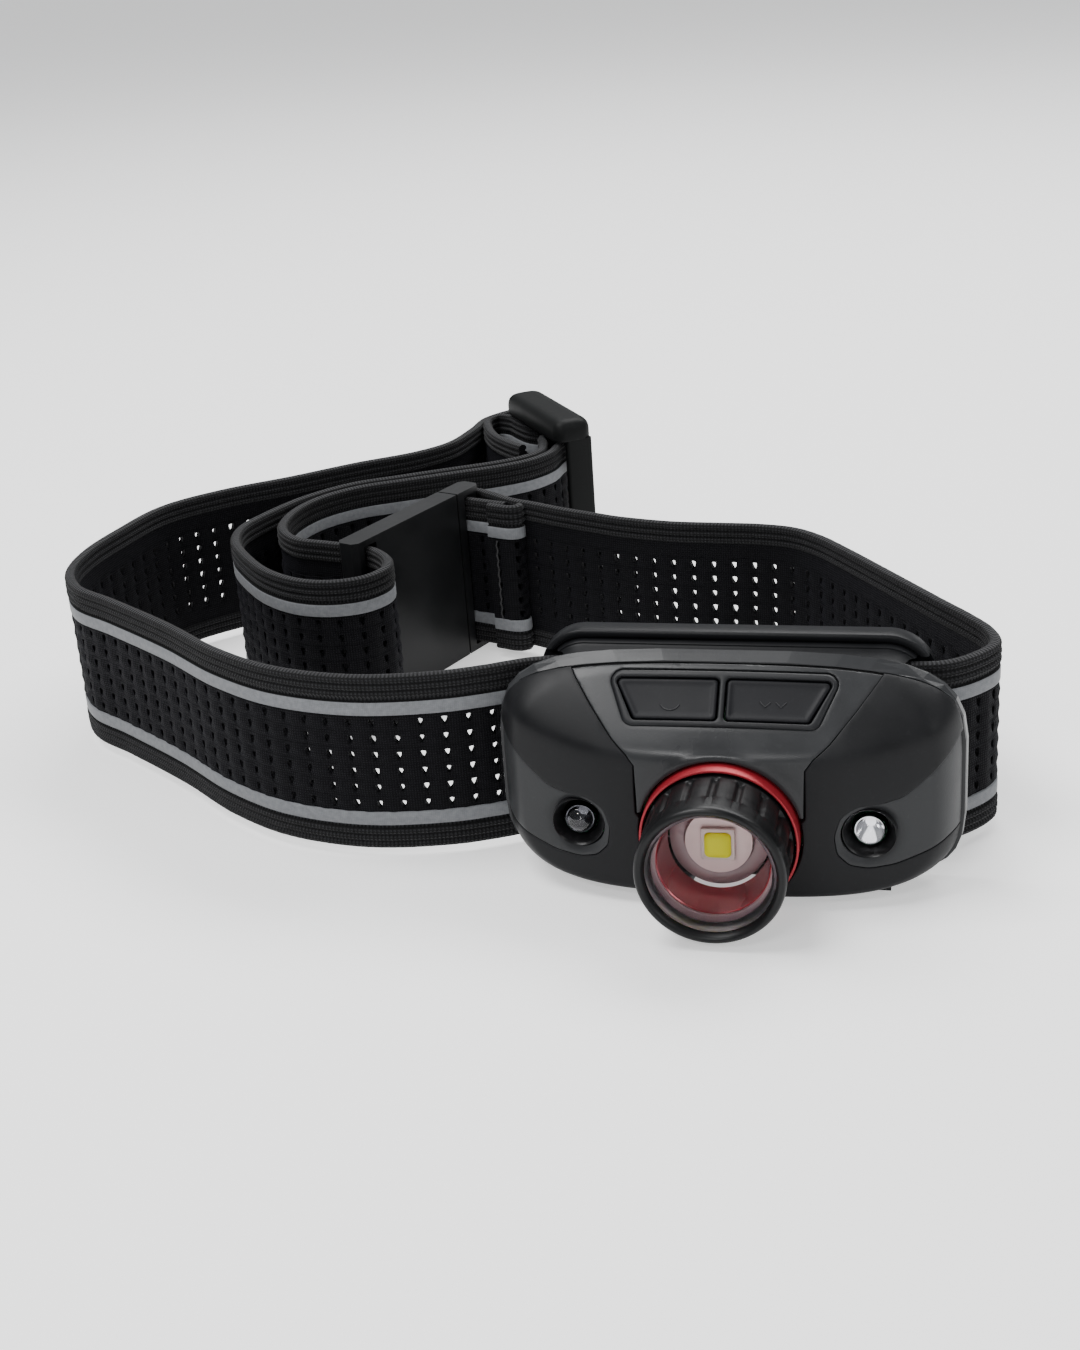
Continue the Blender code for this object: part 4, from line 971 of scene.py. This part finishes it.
# ------------------------------------------------------------------ side lights
LED_R, LED_BASE = 2.6, -9.6
AXIS = 0.0005              # radius of a profile point that closes on its axis
cup_profile = [(2.75, -8.9), (2.75, -9.2), (2.95, -9.9), (3.45, -11.0), (3.78, -11.6), (3.9, -11.72),
               (3.95, -11.6), (3.95, -8.9)]
dome_profile = [(AXIS, LED_BASE - LED_R)]
dome_profile += [(LED_R * math.sin(math.radians(a)), LED_BASE - LED_R * math.cos(math.radians(a)))
                 for a in range(8, 91, 8)]
dome_profile += [(LED_R, -9.4), (LED_R, -7.4), (AXIS, -7.4)]
cone_profile = [(AXIS, -8.5), (0.45, -8.5), (1.55, -9.9), (1.7, -9.9), (1.7, -8.2), (AXIS, -8.2)]
# the left cone takes the darker copy of the right cone's metal: painted shade, as the two side lights are
# alike
for label, x, cone_mat in (("left", -LED_X, steel_shaded), ("right", LED_X, silver)):
    site = (x, HEAD_Y, LED_Z)
    for name, profile, mat, segments, slot_name, node in (
            ("led_cup_", cup_profile, cup_black, 64, "black_plastic", "led_reflector_"),
            ("led_dome_", dome_profile, epoxy_clear, 48, "clear_epoxy", "side_led_"),
            ("led_reflector_cone_", cone_profile, cone_mat, 64, "alloy", None)):
        hand_over(turned(name + label, profile, site, mat, segments), "head",
                  node and node + label)

# ------------------------------------------------------------------ focusing barrel
BARREL = (0.0, HEAD_Y, BARREL_Z)
RIBS, FRONT, BEZEL_R = 18, -26.1, 11.0
RIB_FRONT, RIB_BACK = -22.3, -15.9


def ribbed(angle, r, d):
    """Radius of the bezel with its grip ribs, faded out at both ends."""
    if r > BEZEL_R - 0.1 and RIB_FRONT < d < RIB_BACK:
        wave = math.cos(RIBS * angle)
        groove = 1 / (1 + math.exp((wave + 0.72) * 12))
        end = max(0.0, min(1.0, (d - RIB_FRONT) / 0.6, (RIB_BACK - d) / 0.4))
        facet = 0.16 * (1 - wave) / 2
        return r - (0.40 * groove + facet) * end ** 0.5
    return r


def on_barrel(name, profile, mat, segments, body, node=None):
    hand_over(turned(name, profile, BARREL, mat, segments), body, node)


bezel_profile = [(8.95, -13.2), (10.6, -13.2), (10.85, -13.3), (BEZEL_R, -13.55), (BEZEL_R, -15.8)]
bezel_profile += [(BEZEL_R, RIB_BACK - 0.1 * i) for i in range(6)]
bezel_profile += [(BEZEL_R, -17.0 - i) for i in range(5)]
bezel_profile += [(BEZEL_R, -21.6 - 0.15 * i) for i in range(6)]
bezel_profile += [(r, FRONT + d) for r, d in (
    (BEZEL_R, 1.0), (10.96, 0.6), (10.8, 0.25), (10.55, 0.04), (10.35, 0.0), (10.1, 0.05), (9.85, 0.3),
    (9.5, 0.8), (9.45, 1.2), (9.75, 1.25), (9.75, 4.6), (8.95, 4.6))]
bezel = turned("bezel_shell", bezel_profile, BARREL, bezel_black, RIBS * 20, 40, ribbed)
hand_over(bezel, "focus", "focus_bezel")
rim_profile = [(r, FRONT + d) for r, d in ((8.75, 2.7), (8.75, 2.0), (8.85, 1.6), (9.1, 1.35), (9.55, 1.3),
                                           (9.7, 1.45), (9.7, 2.7))]
on_barrel("lens_rim", rim_profile, rim_clear, 128, "focus", "lens_retainer")
LENS_R, LENS_BULGE = 9.35, 2.1
lens_profile = [(AXIS, FRONT + 1.6)]
lens_profile += [(LENS_R * math.sin(math.radians(a)), FRONT + 3.7 - LENS_BULGE * math.cos(math.radians(a)))
                 for a in range(6, 79, 6)]
lens_profile += [(LENS_R, FRONT + 3.4), (LENS_R, FRONT + 4.2), (AXIS, FRONT + 4.2)]
on_barrel("lens_glass", lens_profile, lens_clear, 96, "focus", "lens")
on_barrel("inner_sleeve", [(7.1, -15.6), (7.5, -15.5), (8.62, -15.6), (8.62, -21.2), (8.5, -21.35),
                           (8.2, -21.35), (8.05, -21.2), (7.75, -19.0), (7.3, -17.0)],
          sleeve_red, 96, "focus", "focus_sleeve")
on_barrel("lens_seat", [(8.25, -21.4), (8.3, -21.75), (8.6, -21.8), (9.4, -21.8), (9.4, -21.4)],
          seat_pink, 96, "focus")
on_barrel("board_collar", [(4.85, -14.0), (4.85, -14.9), (5.1, -15.05), (6.6, -15.05), (6.9, -14.9),
                           (6.9, -14.0)], seat_pink, 80, "head")
on_barrel("barrel_ring", [(11.35, -9.6), (11.35, -15.45), (11.45, -15.58), (11.62, -15.6),
                          (11.74, -15.54), (11.8, -15.4), (11.8, -9.6)],
          ring_red, 128, "head", "red_ring")

# ------------------------------------------------------------------ light source
cad("led_board", board_white, 0.15, 3)
cad("heat_sink", alloy, 0.2, 2)
chip_low, chip_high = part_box("main_led")
chip_x, chip_z = 500 * (chip_low.x + chip_high.x), 500 * (chip_low.z + chip_high.z)


def stacked(name, layers, mat):
    """Rounded squares (half width, corner radius, depth) lofted forward from the LED board."""
    rings = [[(chip_x + u, HEAD_Y + d, chip_z + v) for u, v in rounded(-w, w, -w, w, r)]
             for w, r, d in layers]
    return lofted(name, rings, mat, 40)


chip_base = stacked("led_package", [(2.4, 0.3, -15.8), (2.4, 0.3, -16.1), (2.3, 0.3, -16.2),
                                    (2.2, 0.3, -16.2)], led_body)
chip_dome = stacked("led_phosphor", [(1.9, 0.6, -16.1), (1.9, 0.8, -16.4), (1.7, 0.8, -16.62),
                                     (1.1, 0.7, -16.76), (0.3, 0.25, -16.8)], phosphor)
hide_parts("main_led")
for piece, slot_name in ((chip_base, "board_white"), (chip_dome, "led_yellow")):
    hand_over(piece, "head")


# ------------------------------------------------------------------ buttons
def brow_piece(name, outline, radius, levels, mat):
    """A softly cornered outline lofted through (inset, height) levels over a flat brow."""
    rings_ = []
    for inset, w in levels:
        loop = soft_corners(outline, inset, max(0.2, radius - 0.5 * inset))
        ring_ = []
        for i, (a, b) in enumerate(zip(loop, loop[1:] + loop[:1])):
            steps = SIDE_STEPS if i % (CORNER_STEPS + 1) == CORNER_STEPS else 1
            for k in range(steps):
                u, v = (a[c] + (b[c] - a[c]) * k / steps for c in (0, 1))
                ring_.append(tuple(BROW_O + np.array((u, 0, 0)) + BROW_N * w + BROW_T * v))
        rings_.append(ring_)
    return lofted(name, rings_, mat, 40)


def settle(ob):
    """Bend a flat piece back with the brow."""
    bm = bmesh.new()
    bm.from_mesh(ob.data)
    bmesh.ops.triangulate(bm, faces=bm.faces)
    for vert in bm.verts:
        vert.co -= Vector(BROW_N) * (BROW_FALL * vert.co.x ** 2 / MM)
    bm.to_mesh(ob.data)
    bm.free()


def half(low, high, bottom, top, middle, side):
    """One half of the button panel: a slanted end away from the middle."""
    pts = [(middle, bottom), (low, bottom), (high, top), (middle, top)]
    return pts if side > 0 else [(-u, v) for u, v in pts][::-1]


border = brow_piece("button_border", BORDER, BORDER_CORNER,
                    [(0.0, -0.9), (0.0, -0.05), (0.06, 0.12), (0.2, 0.26), (0.42, 0.33), (0.7, 0.35)],
                    border_black)
WINDOW_LEVELS = [(0.0, -1.6), (0.0, 0.12), (-0.04, 0.22), (-0.16, 0.32), (-0.3, 0.36), (-0.3, 0.8)]
for side in (-1, 1):
    window = half(13.05, 16.35, -3.6, 3.35, 0.42, side)
    carve(border, brow_piece("button_window", window, 0.8, WINDOW_LEVELS, border_black))
settle(border)
hand_over(border, "head", "button_bezel")
for label, side in (("power", -1), ("mode", 1)):
    cap = brow_piece(f"button_cap_{label}", half(12.8, 16.1, -3.35, 3.1, 0.68, side), 0.65,
                     [(0.0, -1.6), (0.0, -0.2), (0.05, -0.02), (0.16, 0.1), (0.32, 0.15), (0.55, 0.14),
                      (0.75, 0.06), (0.95, 0.02), (1.3, 0.0)], key_black)
    settle(cap)
    hand_over(cap, f"{label}_button", f"button_{label}")


def mark(name, spots, body):
    """A fine raised line on a button top."""
    ob = wire(name, [on_brow(u, v, 0.0) for u, v in spots], 0.13, border_black)
    hand_over(ob, body)


smile = [(-7.6 + 1.5 * u, -0.6 + 1.3 * v) for u, v in arc(0, 0, 1, 200, 340, 14)]
mark("power_mark", smile, "power_button")
for i, u in enumerate((6.4, 8.7)):
    mark(f"mode_mark_{i + 1}", [(u - 0.8, -0.3), (u, -1.1), (u + 0.8, -0.3)], "mode_button")

# ------------------------------------------------------------------ bracket
BRACKET_W, BRACKET_H, BRACKET_CORNER = 30.6, 36.3, 7.0
PIN_Y, PIN_Z = HEAD_Y + 0.9, 3.2
LUG_R, BORE_R = 2.1, 1.15


def bracket_ring(inset, y):
    w, low = BRACKET_W - 0.75 * inset, 0.15 * inset
    pts = rounded(-w, w, low, BRACKET_H - inset, max(1.0, BRACKET_CORNER - inset * 0.6), 10)
    return [(x, y, z - 1.1 * (x / BRACKET_W) ** 2 * (z / BRACKET_H)) for x, z in pts]


layers = [(0.5, 2.6), (0.15, 2.45), (0.0, 2.1), (0.0, -0.8), (0.08, -1.05), (0.25, -1.22), (0.45, -1.3),
          (0.95, -1.3), (1.12, -1.22), (1.2, -0.95), (1.25, -0.7), (1.45, -0.7), (1.5, -1.1), (1.6, -1.8),
          (1.75, -2.02), (1.95, -2.05), (2.2, -2.3), (2.9, -5.4), (3.05, -5.75), (3.3, -5.95), (3.6, -6.0)]
bracket_rings = [bracket_ring(i, y) for i, y in layers]
bracket = lofted("bracket_frame", bracket_rings, bracket_grey, 35)


def box_cutter(name, low, high):
    x0, y0, z0 = low
    x1, y1, z1 = high
    rings_ = [[(x0, y0, z), (x1, y0, z), (x1, y1, z), (x0, y1, z)] for z in (z0, z1)]
    return lofted(name, rings_, bracket_grey)


def rod(name, r, x0, x1):
    """A rod along the hinge axis."""
    rings_ = [[(x, y, z) for y, z in circle(PIN_Y, PIN_Z, r, 48)] for x in (x0, x1)]
    return lofted(name, rings_, bracket_grey)


for side in (-1, 1):
    x0, x1 = sorted((8.3 * side, 12.3 * side))
    carve(bracket, rod("lug", LUG_R, x0, x1), "UNION")
    carve(bracket, box_cutter("lug_web", (x0, PIN_Y, 1.2), (x1, -5.0, PIN_Z + 2.0)), "UNION")
carve(bracket, box_cutter("channel", (-40, -4.2, 1.2), (40, 0.4, 32.3)))
for side in (-1, 1):
    x0, x1 = sorted((29.5 * side, 45.0 * side))
    carve(bracket, box_cutter("mouth", (x0, -7.5, 1.25), (x1, -3.2, 32.25)))
carve(bracket, rod("bore", BORE_R, -20, 20))
hand_over(bracket, "band", "bracket")

# ------------------------------------------------------------------ forehead pad
PAD_HALF_W, PAD_Z0, PAD_Z1, PAD_CORNER = 27.0, 3.0, 33.0, 5.0
pad_back = 1000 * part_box("forehead_pad")[0].y
pad_rings = []
for inset, lift in ((1.2, 0.0), (0.2, 0.15), (0.0, 0.6), (0.05, 1.3), (0.5, 1.9), (1.3, 2.25), (2.4, 2.42),
                    (5.0, 2.48), (8.0, 2.5)):
    w, corner = PAD_HALF_W - inset, max(1.0, PAD_CORNER - inset * 0.4)
    pad_rings.append([(x, pad_back + lift, z)
                      for x, z in rounded(-w, w, PAD_Z0 + inset, PAD_Z1 - inset, corner, 8)])
pad = lofted("forehead_cushion", pad_rings, foam_black, 60)
hand_over(pad, "band", "forehead_pad")

# ------------------------------------------------------------------ hard parts carried over


def block(a0, a1, b0, b1, radius, levels):
    """Rings of a rounded block standing in the slider's frame: (inset, height) levels."""
    rings_ = []
    for i, z in levels:
        outline_ = rounded(a0 + i, a1 - i, b0 + i, b1 - i, max(0.3, radius - i * 0.4))
        rings_.append([(*p, z) for p in framed(outline_, SLIDER_XY, SLIDER_DIR)])
    return rings_


slider_points, slider_faces = [], []
SOFT_TOP = [(0.5, 32.2), (0.12, 32.35), (0.0, 32.7), (0.0, 34.3), (0.1, 35.1), (0.35, 35.8), (0.8, 36.35),
            (1.4, 36.65), (2.2, 36.78), (3.0, 36.8)]
SOFT_FOOT = [(0.7, 0.0), (0.25, 0.1), (0.05, 0.35), (0.0, 0.6), (0.05, 0.9), (0.3, 1.2)]
UPRIGHT = [(0.0, 1.0), (0.0, 32.5)]
RAIL = (-15.0, 14.6, -4.8, 3.4, 2.2)
for rings_ in (block(*RAIL, SOFT_TOP), block(*RAIL, SOFT_FOOT),
               block(-14.9, -13.3, -1.4, 2.5, 0.5, UPRIGHT), block(12.8, 14.5, -2.4, 3.3, 0.6, UPRIGHT),
               block(-1.1, 1.1, -1.4, 1.3, 0.5, UPRIGHT)):
    pts, fcs = loft(rings_)
    slider_faces += [tuple(i + len(slider_points) for i in f) for f in fcs]
    slider_points += pts
slider = outward(put("slider_frame", slider_points, slider_faces, hard_black, sharp=50))
hand_over(slider, "band", "strap_slider")
cad("housing_rear", shell_grey, 0.22, 3, 40)
cad("housing_front", hard_black)
cad("gasket", seal_black)
for node, mat, width, segments in (
        ("buckle_socket", buckle_black, 0.45, 3), ("buckle_hook", buckle_black, 0.40, 3),
        ("control_board", board_green, 0.1, 2), ("switch_board", board_green, 0.1, 2),
        ("battery", foil, 0.4, 3), ("charge_port", steel, 0.15, 2), ("port_cover", soft_black, 0.25, 3),
        ("hinge_pin", steel, 0.1, 2)):
    cad(node, mat, width, segments)
for node in ("switch_power", "switch_mode", "screw_1", "screw_2", "screw_3", "screw_4"):
    cad(node, steel, 0.08, 2)

# ------------------------------------------------------------------ floor
floor_mat, _, floor_shader = nodes_of("floor")
set_surface(floor_shader, Base_Color=(0.66, 0.66, 0.66, 1), Emission_Color=(1, 1, 1, 1),
            Emission_Strength=0.62, Roughness=0.7)
bpy.ops.mesh.primitive_plane_add(size=6.0, location=(0, 0, -0.0002))
floor = bpy.context.active_object
floor.name = "floor"
floor.data.materials.append(floor_mat)
